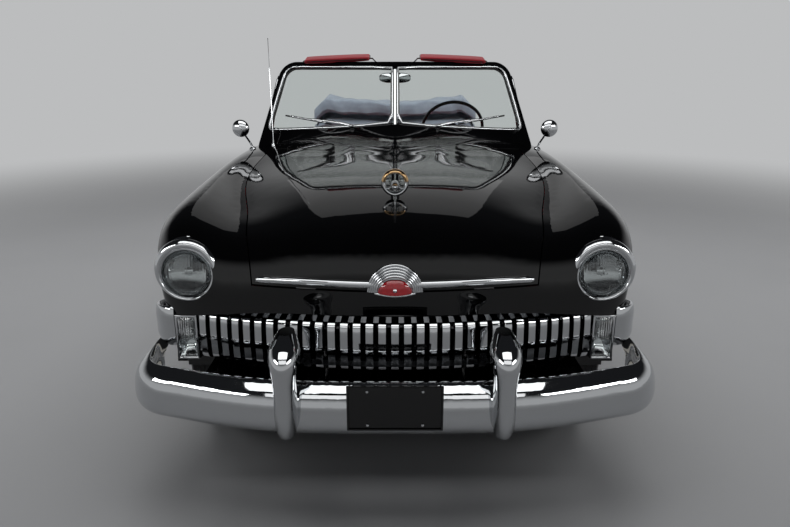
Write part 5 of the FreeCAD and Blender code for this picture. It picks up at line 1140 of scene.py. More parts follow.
def makeBench(node, tag, splitBack, cushionTop, backDepth):
    low, high = boxOf(node)
    half = high.x
    shrink = bench["shrink"]
    backStart = high.y - backDepth
    cushion = bmesh.new()
    size = (2 * half - 2 * shrink, backStart - low.y - shrink, cushionTop - low.z - shrink)
    centre = (0, (low.y + backStart) / 2, low.z + size[2] / 2)
    blockOf(cushion, centre, size, bench["edge"], segments=4)

    def cushionSeam(place, normal):
        if normal.z < 0.3:
            return seamAt(place.z, low.z + size[2] * 0.55, bench["seamWidth"], 4) * (1 - abs(normal.z))
        border = low.y + bench["seamPlace"]
        front = seamAt(place.y, border, bench["seamWidth"], bench["seamDepth"])
        return max(front, pleats(place.x, half) if place.y > border else 0.0) * normal.z

    padPiece(tag + "_cushion", cushion, [redLeather], "root", (node,), cushionSeam,
             low.z + bench["heldCushion"])
    middle = half / 2 if splitBack else 0.0
    height = high.z - low.z - shrink - bench["backRise"]
    for side in ((1, -1) if splitBack else (1,)):
        back = bmesh.new()
        spot = Vector((side * middle, backStart + backDepth / 2, low.z + bench["backRise"] + height / 2))
        across = half - shrink - 6 if splitBack else 2 * (half - shrink)
        blockOf(back, spot, (across, backDepth - 2 * shrink, height), bench["edge"], segments=4)

        def backSeam(place, normal):
            if normal.y > -0.3:
                return 0.0
            border = high.z - bench["seamPlace"]
            top = seamAt(place.z, border, bench["seamWidth"], bench["seamDepth"])
            channel = pleats(place.x - side * middle, across / 2 + bench["bolster"] / 3)
            return max(top, channel if place.z < border else 0.0) * -normal.y

        ending = ("_left" if side > 0 else "_right") if splitBack else ""
        padPiece(tag + "_back" + ending, back, [redLeather], "root", (), backSeam,
                 low.z + bench["heldBack"])
    print(tag, "padded")


makeBench("front_seat", "front_seat", True, 585, 150)
makeBench("rear_seat", "rear_seat", False, 690, 150)


visor = {"inner": 142, "lift": 17, "thick": 20, "edge": 9, "tilt": 10, "roll": 2.5, "binding": 5}


def makeVisors():
    low, high = boxOf("sun_visors")
    inner, outer = visor["inner"], high.x
    for side, ending in ((1, "left"), (-1, "right")):
        pad = bmesh.new()
        middle = Vector((side * (inner + outer) / 2, (low.y + high.y) / 2, low.z + visor["lift"]))
        turn = (Matrix.Rotation(math.radians(side * visor["roll"]), 3, "Y")
                @ Matrix.Rotation(math.radians(visor["tilt"]), 3, "X"))
        size = (outer - inner - 8, high.y - low.y - 4, visor["thick"])
        blockOf(pad, middle, size, visor["edge"], turn=turn, segments=4)
        bmesh.ops.subdivide_edges(pad, edges=pad.edges, cuts=3, use_grid_fill=True)

        def edgeSeam(place, normal):
            local = turn.transposed() @ (place - middle)
            reach = max(abs(local.x) - size[0] / 2, abs(local.y) - size[1] / 2)
            crown = 3 * (1 - min(1.0, abs(local.x) / (size[0] / 2)) ** 4) * abs(normal.z)
            return seamAt(reach, -12, 4, 2.5) - crown

        piece = newPiece("sun_visor_" + ending, pad, [redLeather], "root",
                         ("sun_visors",) if side > 0 else (), 60)
        smoothedOnce(piece)
        sewn(piece, edgeSeam)
        trim = bmesh.new()
        reach, depth = size[0] / 2, size[1] / 2
        corners = [(-reach, depth), (-reach, 0), (8 - reach, 4 - depth), (0, -depth), (reach - 8, 4 - depth),
                   (reach, 0), (reach, depth)]
        line = [middle + turn @ Vector((x, y, 0)) for x, y in corners]
        swept(trim, line, oval(visor["binding"], visor["binding"], 8), (0, 0, 1), 48, finish=0)
        arm = [middle + Vector((-side * (size[0] / 2 + 6), size[1] / 2 * 0.6, 3)),
               middle + Vector((-side * (size[0] / 2 - 80), size[1] / 2 * 0.6, 3))]
        foot = arm[0] + Vector((-side * 30, -38, -22))
        swept(trim, [foot, arm[0] + Vector((-side * 12, -10, -6)), arm[0], arm[1]], oval(8, 8, 8),
              (0, 0.2, 1), 16, finish=1)
        closeEnds(trim)
        newPiece("visor_binding_" + ending, trim, [blackBinding, chrome], "root", (), 50)


makeVisors()
print("visors made")


foldedTop = {
    "layers": 8,
    "cover": 3,
    "peakSide": 590,
    "sag": 50,
    "endFall": 120,
    "across": 132,
    "along": 230,
    "wrinkle": 7,
}


def makeFoldedTop():
    low, high = boxOf("folded_top")
    start, end = low.y + 16, high.y - 16
    layers = foldedTop["layers"]
    step = (high.z - low.z - 22) / (layers - 1)
    # the cut of the cloth runs to and fro from the bottom to the top
    line = []
    for layer in range(layers):
        z = low.z + 12 + step * layer
        pull = 18 * math.sin(layer * 2.1)
        runs = [(start + 40 + pull * (layer > 0), z), ((start + end) / 2, z + 6 * math.sin(layer * 1.7)),
                (end - 40 + pull, z)]
        runs = runs if layer % 2 == 0 else runs[::-1]
        line += [Vector((0, y, height)) for y, height in runs]
        if layer < layers - 1:
            near = end - 8 + pull / 2 if layer % 2 == 0 else start + 8 + pull / 2
            line.append(Vector((0, near, z + step / 2)))
    line[-1] = Vector((0, start + 30, line[-1].z - 6))
    line.append(Vector((0, start + 2, line[-1].z - 46)))
    line.append(Vector((0, start - 4, line[-1].z - 60)))
    half = high.x - 6

    def shape(u, v):
        x = (2 * u - 1) * half
        place = lineAt(line, v)
        height = (place.z - low.z) / (high.z - low.z)
        reach = abs(x) / foldedTop["peakSide"]
        bunch = (min(reach, 1.0) ** 2 - 1) * foldedTop["sag"]
        fall = max(0.0, (abs(x) - foldedTop["peakSide"]) / (half - foldedTop["peakSide"])) ** 1.3
        ripple = (math.sin(x / 83 + place.y / 47 + 3 * height)
                  + 0.7 * math.sin(x / 37 - place.y / 61 + 9 * height)
                  + 0.5 * math.sin(x / 19 + 14 * height) * min(1.0, reach ** 3)) * foldedTop["wrinkle"]
        z = place.z + height * (bunch - fall * foldedTop["endFall"]) + ripple * (0.3 + 0.7 * height)
        y = place.y + ripple * 0.8 + 10 * math.sin(x / 140 + 5 * height)
        squeeze = 1 - 0.25 * fall
        middle = (start + end) / 2
        return Vector((x, middle + (y - middle) * squeeze, max(z, low.z + 2 + ripple * 0.1)))

    pile = bmesh.new()
    formed(pile, foldedTop["across"], foldedTop["along"], shape)
    area = sum(face.calc_area() for face in pile.faces) * mm * mm
    piece = newPiece("top_cloth", pile, [topCanvas], "root", ("folded_top",), 70)
    thick = piece.modifiers.new("cloth thickness", "SOLIDIFY")
    thick.thickness = foldedTop["cover"] * mm
    thick.offset = 0

    # bows of the folded frame between the layers, and its links at the sides
    bows = bmesh.new()
    for layer, y in ((1, 0.3), (3, 0.65), (5, 0.4)):
        z = low.z + step * (layer + 0.5) - 4
        y = low.y + (high.y - low.y) * y
        fall = step * 0.2
        bow = [Vector((-half + 60, y, z - fall)), Vector((-half * 0.5, y, z)), Vector((0, y, z - fall)),
               Vector((half * 0.5, y, z)), Vector((half - 60, y, z - fall))]
        swept(bows, bow, oval(26, 12, 10), (0, 0, 1), 40)
    for side in (1, -1):
        for lift in (0.28, 0.5):
            spot = Vector((side * (half - 26), (low.y + high.y) / 2, low.z + (high.z - low.z) * lift))
            link = [spot + Vector((0, -104, -24)), spot + Vector((0, 0, 8)), spot + Vector((0, 100, -12))]
            swept(bows, link, oval(10, 24, 10), (0, 0, 1), 16)
    closeEnds(bows)
    newPiece("top_bows", bows, [chassisPaint], "root", (), 50)


makeFoldedTop()
print("folded top made")


steering = {
    "centre": (390, -70, 1086),
    "angle": 30,
    "rimReach": 203,
    "rimTube": 10.5,
    "hornReach": 128,
    "hornTube": 4,
    "hubRadius": 34,
}


def makeSteeringWheel():
    centre = Vector(steering["centre"])
    angle = math.radians(steering["angle"])
    face = Vector((0, math.cos(angle), math.sin(angle)))
    across = Vector((1, 0, 0))
    rise = face.cross(across)
    rise = rise if rise.z > 0 else -rise

    def at(turn, reach, lift=0.0):
        turn = math.radians(turn)
        return centre + (across * math.cos(turn) + rise * math.sin(turn)) * reach + face * lift

    wheel = bmesh.new()
    tube = steering["rimTube"]
    ring = [(steering["rimReach"] + tube * math.cos(math.tau * k / 12), tube * math.sin(math.tau * k / 12))
            for k in range(13)]
    turned(wheel, ring, centre, face, 96)
    turned(wheel, [(0, -46), (26, -46), (26, -8), (steering["hubRadius"], 0), (steering["hubRadius"], 10),
                   (28, 16), (0, 17)], centre, face, 48)
    for turn in (-8, 188, 270):
        spoke = [at(turn, 20, 2), at(turn, 80, -4), at(turn, 150, -3), at(turn, steering["rimReach"], 0)]
        swept(wheel, spoke, oval(26, 9, 12), face, 20, lambda v: 1.0 - 0.35 * v)
    closeEnds(wheel)
    newPiece("steering_rim", wheel, [blackPlastic], "steering_wheel",
             ("steering_wheel",), 50)
    bright = bmesh.new()
    reach = steering["hornReach"]
    arc = [at(turn, reach, 14) for turn in range(-170, -9, 10)]
    swept(bright, [at(-196, 30, 18), at(-184, 84, 16)] + arc + [at(4, 84, 16), at(16, 30, 18)],
          oval(2 * steering["hornTube"], 2 * steering["hornTube"], 10), face, 120)
    turned(bright, [(0, 27), (12, 26), (19, 22), (24, 17), (27, 14)], centre, face, 48)
    closeEnds(bright)
    newPiece("horn_ring", bright, [chrome], "steering_wheel", (), 50)
    lever = bmesh.new()
    away = -face * 96
    start = centre + away
    stalk = [start, start + Vector((60, 4, 6)), start + Vector((120, 12, 20)), start + Vector((168, 16, 34))]
    swept(lever, stalk, oval(8, 8, 10), face, 24)
    turned(lever, [(0, -13), (9, -10), (12, 0), (9, 10), (0, 13)], start + Vector((172, 16, 36)),
           (1, 0, 0.2), 24, finish=1)
    turned(lever, [(27, -20), (31, -18), (31, 18), (27, 20)], start, face, 40)
    closeEnds(lever)
    newPiece("shift_lever", lever, [chrome, blackPlastic], "root", (), 50)


makeSteeringWheel()
print("steering wheel made")


dash = {
    "dials": ((390, 70), (278, 30), (502, 30)),  # place across the car, and radius
    "dialRise": 110,
    "needleTurn": 0.9,
    "radioWidth": 250,
    "radioHeight": 92,
    "glovePlace": -400,
    "gloveWidth": 300,
    "gloveHeight": 96,
    "knobPlaces": (-150, -110, 110, 150, 520, 560),
    "knobRise": 42,
    "beadRise": 14,
    "beadHeight": 10,
}
dashTree = treeOf("dashboard")


def makeDashboard():
    low, high = boxOf("dashboard")

    def face(x, z):
        return hitOn(dashTree, (x, 200, z), (0, -1, 0)) or Vector((x, high.y, z))

    builder = bmesh.new()
    level = low.z + dash["dialRise"]
    # the instrument cluster ahead of the steering wheel: one large dial between two small ones
    for x, radius in dash["dials"]:
        spot = face(x, level)
        turned(builder, [(radius, -2), (radius, 12), (radius - 3, 16), (radius - 8, 14), (radius - 10, 5)],
               spot, (0, 1, 0), 56)
        turned(builder, [(0, 2), (radius - 9, 2)], spot, (0, 1, 0), 48, finish=1)
        turned(builder, [(0, 12), (radius - 20, 11.5), (radius - 9, 9)], spot, (0, 1, 0), 48, finish=3)
        count = 12 if radius > 50 else 6
        for k in range(count + 1):
            turn = math.radians(210 - 240 * k / count)
            way = Vector((-math.cos(turn), 0, math.sin(turn)))
            across = Matrix.Rotation(math.atan2(way.x, way.z), 3, "Y")
            blockOf(builder, spot + way * (radius * 0.72) + Vector((0, 3.4, 0)),
                    (radius * 0.035, 1.2, radius * 0.14), 0.3, finish=2, turn=across, segments=1)
        needle = Vector((-math.cos(dash["needleTurn"]), 0, math.sin(dash["needleTurn"])))
        blockOf(builder, spot + needle * radius * 0.3 + Vector((0, 5.5, 0)),
                (radius * 0.03, 1.0, radius * 0.72), 0.3, finish=4,
                turn=Matrix.Rotation(math.atan2(needle.x, needle.z), 3, "Y"), segments=1)
        turned(builder, [(0, 7.5), (radius * 0.08, 7), (radius * 0.1, 3)], spot, (0, 1, 0), 24)
    # radio and its grille of upright bars
    spot = face(0, level)
    for across in range(-5, 6):
        blockOf(builder, spot + Vector((across * 20, 6, 10)), (9, 12, dash["radioHeight"] - 34), 3)
    for lift in (-dash["radioHeight"] / 2, dash["radioHeight"] / 2 - 4):
        blockOf(builder, spot + Vector((0, 6, lift)), (dash["radioWidth"], 14, 9), 3)
    for side in (1, -1):
        blockOf(builder, spot + Vector((side * dash["radioWidth"] / 2, 6, -2)),
                (9, 14, dash["radioHeight"]), 3)
    blockOf(builder, spot + Vector((0, 3, -32)), (dash["radioWidth"] - 90, 8, 18), 2, finish=1)
    # glove box door with its bead, and a push button
    spot = face(dash["glovePlace"], level)
    blockOf(builder, spot + Vector((0, 1, 0)), (dash["gloveWidth"], 7, dash["gloveHeight"]), 3, finish=5)
    for lift in (-1, 1):
        blockOf(builder, spot + Vector((0, 5, lift * (dash["gloveHeight"] / 2 - 10))),
                (dash["gloveWidth"] - 24, 5, 4), 1.6)
    turned(builder, [(12, 2), (12, 12), (9, 16), (0, 17)], spot + Vector((0, 2, 14)), (0, 1, 0), 28)
    for x in dash["knobPlaces"]:
        spot = face(x, low.z + dash["knobRise"])
        turned(builder, [(5, 0), (5, 10), (12, 12), (14, 18), (12, 24), (0, 26)], spot, (0, 1, 0), 28,
               finish=6)
        turned(builder, [(12.5, 0), (12.5, 2.5), (9, 4)], spot, (0, 1, 0), 28)
    # one chrome bead along the foot of the panel
    run = [face(x, low.z + dash["beadRise"]) + Vector((0, 1, 0)) for x in range(-660, 661, 60)]
    swept(builder, run, halfRound(dash["beadHeight"], 5), (0, 1, 0), 120)
    closeEnds(builder)
    newPiece("dash_fittings", builder,
             [chrome, dialEnamel, blackPlastic, dialGlass, redEnamel, blackLacquer, blackPlastic],
             "root", (), 40)


makeDashboard()
print("dashboard fitted")


pedals = {
    "pads": ((300, 78, 560, 56), (410, 78, 560, 56), (520, 60, 545, 130)),  # across, width, height, length
    "reach": 96,
    "arm": 10,
    "tilt": -32,
}


def makePedals():
    builder = bmesh.new()
    ahead = boxOf("firewall")[1].y
    tilt = Matrix.Rotation(math.radians(pedals["tilt"]), 3, "X")
    for x, width, height, tall in pedals["pads"]:
        pad = Vector((x, ahead + pedals["reach"], height))
        hang = pad + Vector((0, -70, 190))
        swept(builder, [hang, hang + Vector((0, 30, -70)), pad + Vector((0, -6, 12)), pad],
              oval(pedals["arm"], 2 * pedals["arm"], 10), (0, 1, 0), 20, finish=0)
        blockOf(builder, pad, (width, 12, tall), 4, finish=1, turn=tilt)
        for k in range(-2, 3):
            rib = tilt @ Vector((0, 7, k * tall / 6))
            blockOf(builder, pad + rib, (width - 12, 4, 4), 1.5, finish=1, turn=tilt, segments=2)
    closeEnds(builder)
    newPiece("pedals", builder, [chassisPaint, sealRubber], "root", (), 45)


makePedals()


doorPanel = {
    "cabinSide": 300,
    "start": -672,
    "end": 500,
    "low": 372,
    "high": 962,
    "lift": 9,
    "pleatPitch": 68,
    "pleatDepth": 5,
    "armStart": 40,
    "armEnd": 380,
    "armHeight": 690,
}


def makeDoorPanels():
    doorTree = treeOf("door_left")
    start, end = doorPanel["start"], doorPanel["end"]
    low, high = doorPanel["low"], doorPanel["high"]

    def inside(y, z):
        return hitOn(doorTree, (doorPanel["cabinSide"], y, z), (1, 0, 0))

    for side, node, ending in ((1, "door_left", "left"), (-1, "door_right", "right")):
        panel = bmesh.new()

        def shape(u, v):
            y = start + (end - start) * u
            z = low + (high - low) * v
            # the front lower corner follows the hinge pillar
            y = max(y, start + 90 * max(0.0, 1 - v * 1.4))
            spot = inside(y, z) or inside(y, 700) or Vector((790, y, z))
            edge = min(u, 1 - u, v, 1 - v)
            crown = doorPanel["lift"] * min(1.0, edge / 0.02) ** 0.5
            if 0.16 < v < 0.62 and 0.06 < u < 0.94:
                crown -= doorPanel["pleatDepth"] * abs(math.cos(math.pi * y / doorPanel["pleatPitch"])) ** 10
            for line in (0.16, 0.62, 0.8):
                crown -= seamAt(v, line, 0.008, 3.5)
            return Vector(((spot.x - max(crown, 0.5)) * side, y, z))

        formed(panel, 200, 90, shape)
        newPiece("door_panel_" + ending, panel, [redLeather], node, (), 60)
        fittings = bmesh.new()
        height = doorPanel["armHeight"]
        rest = []
        for y in (doorPanel["armStart"], 120, 250, doorPanel["armEnd"]):
            spot = inside(y, height)
            rest.append(Vector(((spot.x - 24) * side, y, height + (8 if 100 < y < 300 else 0))))
        swept(fittings, rest, oval(44, 52, 16), (0, 0, 1), 40,
              lambda v: max(0.25, min(1.0, 6 * v + 0.2, 6 * (1 - v) + 0.2)), finish=1)
        for lift in (0.62, 0.8):
            z = low + (high - low) * lift
            run = []
            for k in range(13):
                y = start + 60 + (end - start - 80) * k / 12
                run.append(Vector(((inside(y, z).x - doorPanel["lift"] + 3) * side, y, z)))
            swept(fittings, run, halfRound(11, 7), (-1, 0, 0), 60)
        for y, z, reach in ((-300, 800, 96), (-120, 560, 84)):
            spot = inside(y, z)
            foot = Vector(((spot.x - doorPanel["lift"]) * side, y, z))
            turned(fittings, [(24, -2), (24, 5), (14, 10), (9, 24), (0, 25)], foot, (-side, 0, 0), 32)
            tip = foot + Vector((-side * 20, reach * 0.8, -reach * 0.5))
            handle = [foot + Vector((-side * 20, 0, 0)), (foot + tip) / 2 + Vector((-side * 14, 0, 0)), tip]
            swept(fittings, handle, oval(12, 8, 10), (1, 0, 0), 16)
            turned(fittings, [(0, 0), (8, 2), (8, 20), (0, 23)], tip, (-side, 0, 0), 20, finish=2)
        closeEnds(fittings)
        newPiece("door_fittings_" + ending, fittings, [chrome, redLeather, blackPlastic], node,
                 (), 50)


makeDoorPanels()


sidePad = {
    "inset": 72,
    "frontGap": 6,
    "end": 940,
    "footRise": 190,
    "topGap": 8,
    "crown": 10,
    "pleatDepth": 4,
    "seamShares": (0.1, 0.72),  # of the pad's height
    "rollWidth": 78,
    "rollHeight": 26,
}


def makeSidePads():
    low, high = boxOf("side_trims")
    builder = bmesh.new()
    inner = high.x - sidePad["inset"]
    start, end = low.y + sidePad["frontGap"], sidePad["end"]
    foot, top = low.z + sidePad["footRise"], high.z - sidePad["topGap"]
    lowSeam, highSeam = sidePad["seamShares"]

    def shape(u, v):
        y = start + (end - start) * u
        z = foot + (top - foot) * v
        edge = min(u, 1 - u, v, 1 - v)
        crown = sidePad["crown"] * min(1.0, edge / 0.04) ** 0.5
        if lowSeam < v < highSeam:
            crown -= sidePad["pleatDepth"] * abs(math.cos(math.pi * y / doorPanel["pleatPitch"])) ** 10
        crown -= seamAt(v, highSeam, 0.012, 4) + seamAt(v, lowSeam, 0.012, 4)
        return Vector((inner - max(crown, 0.4), y, z))

    formed(builder, 90, 70, shape)
    # a rolled top edge over the trim, from the door's post to the well
    roll = [Vector((inner + sidePad["inset"] / 2, y, high.z - 4))
            for y in (start, start + 160, end - 40, high.y - 6)]
    swept(builder, roll, oval(sidePad["rollWidth"], sidePad["rollHeight"], 16), (0, 0, 1), 60)
    closeEnds(builder)
    bothSides(builder)
    newPiece("rear_side_pads", builder, [redLeather], "root", (), 60)


makeSidePads()
print("door panels and side pads made")


ventWindow = {
    "base": 1034,
    "foot": (-690, -430),
    "head": (-492, -548),
    "middle": -545,
    "frame": 11,
    "deep": 13,
    "glass": 4,
    "corner": 26,
    "blockPlace": -560,
    "blockLength": 200,
    "blockHeight": 26,
}


def makeVentWindows():
    low, high = boxOf("vent_window_left")
    base = ventWindow["base"]
    slope = (high.x - low.x - 14) / (high.z - base)
    corners = [(y, base) for y in ventWindow["foot"]] + [(y, high.z) for y in ventWindow["head"]]

    def at(y, z, side):
        return Vector(((high.x - 7 - slope * (z - base)) * side, y, z))

    for side, node, ending in ((1, "door_left", "left"), (-1, "door_right", "right")):
        line = []
        inset = ventWindow["frame"] / 2
        middle = Vector((0, ventWindow["middle"], (base + high.z) / 2))
        for k, (y, z) in enumerate(corners):
            before, after = corners[k - 1], corners[(k + 1) % 4]
            spot = Vector((0, y, z))
            for other in (before, after):
                way = (Vector((0, *other)) - spot).normalized() * ventWindow["corner"]
                rounded = spot + way
                rounded += (middle - rounded).normalized() * inset
                line.append(at(rounded.y, rounded.z, side))
        outline = []
        for k in range(8):
            first, second = line[k], line[(k + 1) % 8]
            outline += [first, first.lerp(second, 0.34), first.lerp(second, 0.67)]
        outline.append(outline[0])
        builder = bmesh.new()
        facing = Vector((slope, 0, 1)).cross(Vector((0, 1, 0))).normalized()
        facing = Vector((abs(facing.x) * side, 0, facing.z))
        swept(builder, outline, oval(ventWindow["frame"], ventWindow["deep"], 10), facing, 144)
        foot = at(ventWindow["blockPlace"], base - 12, side)
        blockOf(builder, foot, (ventWindow["deep"], ventWindow["blockLength"], ventWindow["blockHeight"]), 3)
        closeEnds(builder)
        newPiece("vent_frame_" + ending, builder, [chrome], node, ("vent_window_" + ending,), 50)
        pane = bmesh.new()
        centre = sum(outline[:-1], Vector()) / (len(outline) - 1)

        def paneShape(u, v):
            k = round(u * 24) % 24
            return centre.lerp(outline[k], 0.02 + 0.98 * v)

        formed(pane, 24, 6, paneShape)
        bmesh.ops.solidify(pane, geom=list(pane.faces), thickness=ventWindow["glass"])
        newPiece("vent_glass_" + ending, pane, [windowGlass], node, (), 50)


makeVentWindows()
print("vent windows made")


# trim along the sides and at the rear

sideTrim = {
    "height": 742,
    "width": 26,
    "depth": 12,
    "start": -2050,
    "end": 2200,
    "doorCuts": ((-744, -728), (553, 576)),  # where it stops and starts again at the door's two edges
    "handleHeight": 838,
    "handlePlace": 452,
    "rockerHeight": 262,
    "rockerWidth": 52,
}
leftSide = {name: treeOf(name) for name in ("front_fenders", "door_left", "quarter_panels")}


def sideSpot(name, y, z):
    spot = hitOn(leftSide[name], (rayStart["left"], y, z), (-1, 0, 0))
    return spot if spot and spot.x > 0 else None


def makeSideTrim():
    # one bright moulding along the flank, cut at the door, on whichever panel carries it
    (fenderEnd, doorStart), (doorEnd, quarterStart) = sideTrim["doorCuts"]
    runs = (("front_fenders", "root", sideTrim["start"], fenderEnd),
            ("door_left", "door_left", doorStart, doorEnd),
            ("quarter_panels", "root", quarterStart, sideTrim["end"]))
    for node, body, start, end in runs:
        line = []
        for k in range(25):
            y = start + (end - start) * k / 24
            spot = sideSpot(node, y, sideTrim["height"])
            if spot:
                line.append(spot - Vector((1, 0, 0)))
        builder = bmesh.new()
        nose = start == sideTrim["start"]
        tail = end == sideTrim["end"]

        def taper(v):
            return max(0.15, min(1.0, 7 * v if nose else 1.0, 7 * (1 - v) if tail else 1.0))

        swept(builder, line, halfRound(sideTrim["width"], sideTrim["depth"]), (1, 0, 0), 90, taper)
        closeEnds(builder)
        if body == "root":
            bothSides(builder)
            newPiece("side_moulding_" + node, builder, [chrome], "root", (), 50)
        else:
            other = builder.copy()
            bmesh.ops.scale(other, vec=(-1, 1, 1), verts=other.verts)
            newPiece("side_moulding_door_left", builder, [chrome], "door_left", (), 50)
            newPiece("side_moulding_door_right", other, [chrome], "door_right", (), 50)


makeSideTrim()


def makeDoorHandles():
    for side, body, ending in ((1, "door_left", "left"), (-1, "door_right", "right")):
        y, z = sideTrim["handlePlace"], sideTrim["handleHeight"]
        front, back = sideSpot("door_left", y - 150, z), sideSpot("door_left", y, z)
        builder = bmesh.new()
        for spot in (front, back):
            turned(builder, [(0, -4), (22, -2), (20, 6), (11, 12), (10, 23), (0, 25)],
                   Vector((spot.x * side, spot.y, spot.z)), (side, 0, 0), 32)
        lift = Vector((26, 0, 0))
        line = [front + Vector((17, -26, 0)), front + lift, (front + back) / 2 + lift * 1.1, back + lift,
                back + Vector((19, 22, -2))]
        line = [Vector((spot.x * side, spot.y, spot.z)) for spot in line]
        swept(builder, line, oval(22, 13, 14), (side, 0, 0), 40,
              lambda v: 0.55 + 0.45 * math.sin(math.pi * v))
        lock = sideSpot("door_left", y + 4, z - 52)
        turned(builder, [(0, 6), (10, 6), (13, 2), (13, -4)], Vector((lock.x * side, lock.y, lock.z)),
               (side, 0, 0), 28)
        closeEnds(builder)
        newPiece("door_handle_" + ending, builder, [chrome], body, (), 45)


makeDoorHandles()


def makeRockerTrim():
    low, high = boxOf("sills")
    tree = treeOf("sills")
    line = []
    for k in range(21):
        y = low.y + 30 + (high.y - low.y - 60) * k / 20
        spot = hitOn(tree, (rayStart["left"], y, sideTrim["rockerHeight"]), (-1, 0, 0))
        if spot:
            line.append(spot - Vector((1, 0, 0)))
    builder = bmesh.new()
    swept(builder, line, halfRound(sideTrim["rockerWidth"], 7), (1, 0, 0), 80)
    closeEnds(builder)
    bothSides(builder)
    newPiece("rocker_mouldings", builder, [aluminium], "root", (), 50)


makeRockerTrim()
print("side trim made")


tail = {"lampSide": 800, "lampHeight": 694, "lampSet": 40, "radius": 48, "ribs": 5}


def makeTailLamps():
    centre = Vector((tail["lampSide"], boxOf("tail_lamps")[1].y - tail["lampSet"], tail["lampHeight"]))
    lens = bmesh.new()
    radius = tail["radius"]
    outline = [(radius - 8, 0), (radius - 8, 26)]
    for k in range(tail["ribs"]):
        reach = (radius - 10) * (1 - k / tail["ribs"])
        step = (radius - 10) / tail["ribs"]
        outline += [(reach, 30 + 3 * k), (reach - step * 0.55, 32 + 3 * k), (reach - step * 0.8, 29 + 3 * k)]
    outline.append((0, 46))
    turned(lens, outline, centre, (0, 1, 0), 56)
    bothSides(lens)
    newPiece("tail_lamp_lenses", lens, [redLens], "root", ("tail_lamps",), 40)
    bezel = bmesh.new()
    turned(bezel, [(radius - 9, 30), (radius - 6, 36), (radius + 2, 34), (radius + 8, 22), (radius + 12, -30),
                   (radius + 12, -60), (radius - 9, -60), (radius - 9, 30)], centre, (0, 1, 0), 64)
    turned(bezel, [(0, -2), (radius - 12, 6), (radius - 9, 12)], centre, (0, 1, 0), 48, finish=1)
    bothSides(bezel)
    newPiece("tail_lamp_bezels", bezel, [chrome, reflectorSilver], "root", (), 40)


makeTailLamps()


trunkHandle = {
    "height": 742,
    "post": 70,
    "end": 104,
    "stand": 26,
    "lockDrop": 52,
    "beadStart": 1680,
    "beadLength": 700,
}


def makeTrunkHandle():
    tree = treeOf("trunk_lid")
    builder = bmesh.new()
    back = boxOf("trunk_lid")[1].y
    height, post, end = trunkHandle["height"], trunkHandle["post"], trunkHandle["end"]

    def lidSpot(x, z):
        return hitOn(tree, (x, rayStart["behind"], z), (0, -1, 0)) or Vector((x, back, z))

    for side in (-1, 1):
        turned(builder, [(0, -6), (17, -4), (15, 6), (9, 14), (8, 24), (0, 26)], lidSpot(side * post, height),
               (0, 1, 0), 28)
    line = [lidSpot(x, height) + Vector((0, trunkHandle["stand"] * share, 0))
            for x, share in ((-end, 0.9), (-post, 1.0), (0, 1.3), (post, 1.0), (end, 0.9))]
    swept(builder, line, oval(24, 13, 14), (0, 1, 0), 40, lambda v: 0.5 + 0.5 * math.sin(math.pi * v))
    turned(builder, [(0, 8), (11, 8), (15, 3), (15, -6)], lidSpot(0, height - trunkHandle["lockDrop"]),
           (0, 1, 0), 28)
    # a plain upright bead down the middle of the lid
    crest = []
    for k in range(13):
        y = trunkHandle["beadStart"] + trunkHandle["beadLength"] * k / 12
        spot = hitOn(tree, (0, y, rayStart["above"]), (0, 0, -1))
        if spot:
            crest.append(spot - Vector((0, 0, 1)))
    swept(builder, crest, halfRound(16, 6), (0, 0, 1), 60,
          lambda v: max(0.15, min(1.0, 8 * v, 8 * (1 - v))))
    closeEnds(builder)
    newPiece("trunk_trim", builder, [chrome], "trunk_lid", (), 45)


makeTrunkHandle()


fuelDoor = {"place": (1980, 800), "outline": [(66, -3), (66, 1.5), (62, 3), (0, 4)], "lean": 0.25}


def makeFuelDoor():
    spot = sideSpot("quarter_panels", *fuelDoor["place"])
    builder = bmesh.new()
    turned(builder, fuelDoor["outline"], Vector((-spot.x, spot.y, spot.z)), (-1, 0, fuelDoor["lean"]), 56)
    newPiece("fuel_door", builder, [blackLacquer], "root", (), 40)


makeFuelDoor()


trunkMat = {
    "gap": 8,
    "thickness": 3,
    "lift": 5,
    "ribPitch": 40,
    "ribHeight": 1.5,
    "across": 160,
    "along": 48,
}


def makeTrunkMat():
    # ribbed rubber mat over the trunk floor, from the top well to the tail panel
    sides = treeOf("quarter_panels", "wheelhouses")
    level = boxOf("floor_pan")[1].z + trunkMat["lift"]
    start = boxOf("top_well")[1].y + trunkMat["gap"]
    length = boxOf("tail_panel")[0].y - trunkMat["gap"] - start
    rows = trunkMat["along"]
    halves = [hitOn(sides, (0, start + length * row / rows, level), (1, 0, 0)).x - trunkMat["gap"]
              for row in range(rows + 1)]

    def shape(u, v):
        x = (2 * u - 1) * halves[round(rows * v)]
        rib = trunkMat["ribHeight"] * math.cos(math.tau * x / trunkMat["ribPitch"])
        return Vector((x, start + length * v, level + rib))

    builder = bmesh.new()
    formed(builder, trunkMat["across"], rows, shape)
    bmesh.ops.solidify(builder, geom=list(builder.faces), thickness=trunkMat["thickness"])
    newPiece("trunk_mat", builder, [tyreRubber], "root", (), 60)


makeTrunkMat()


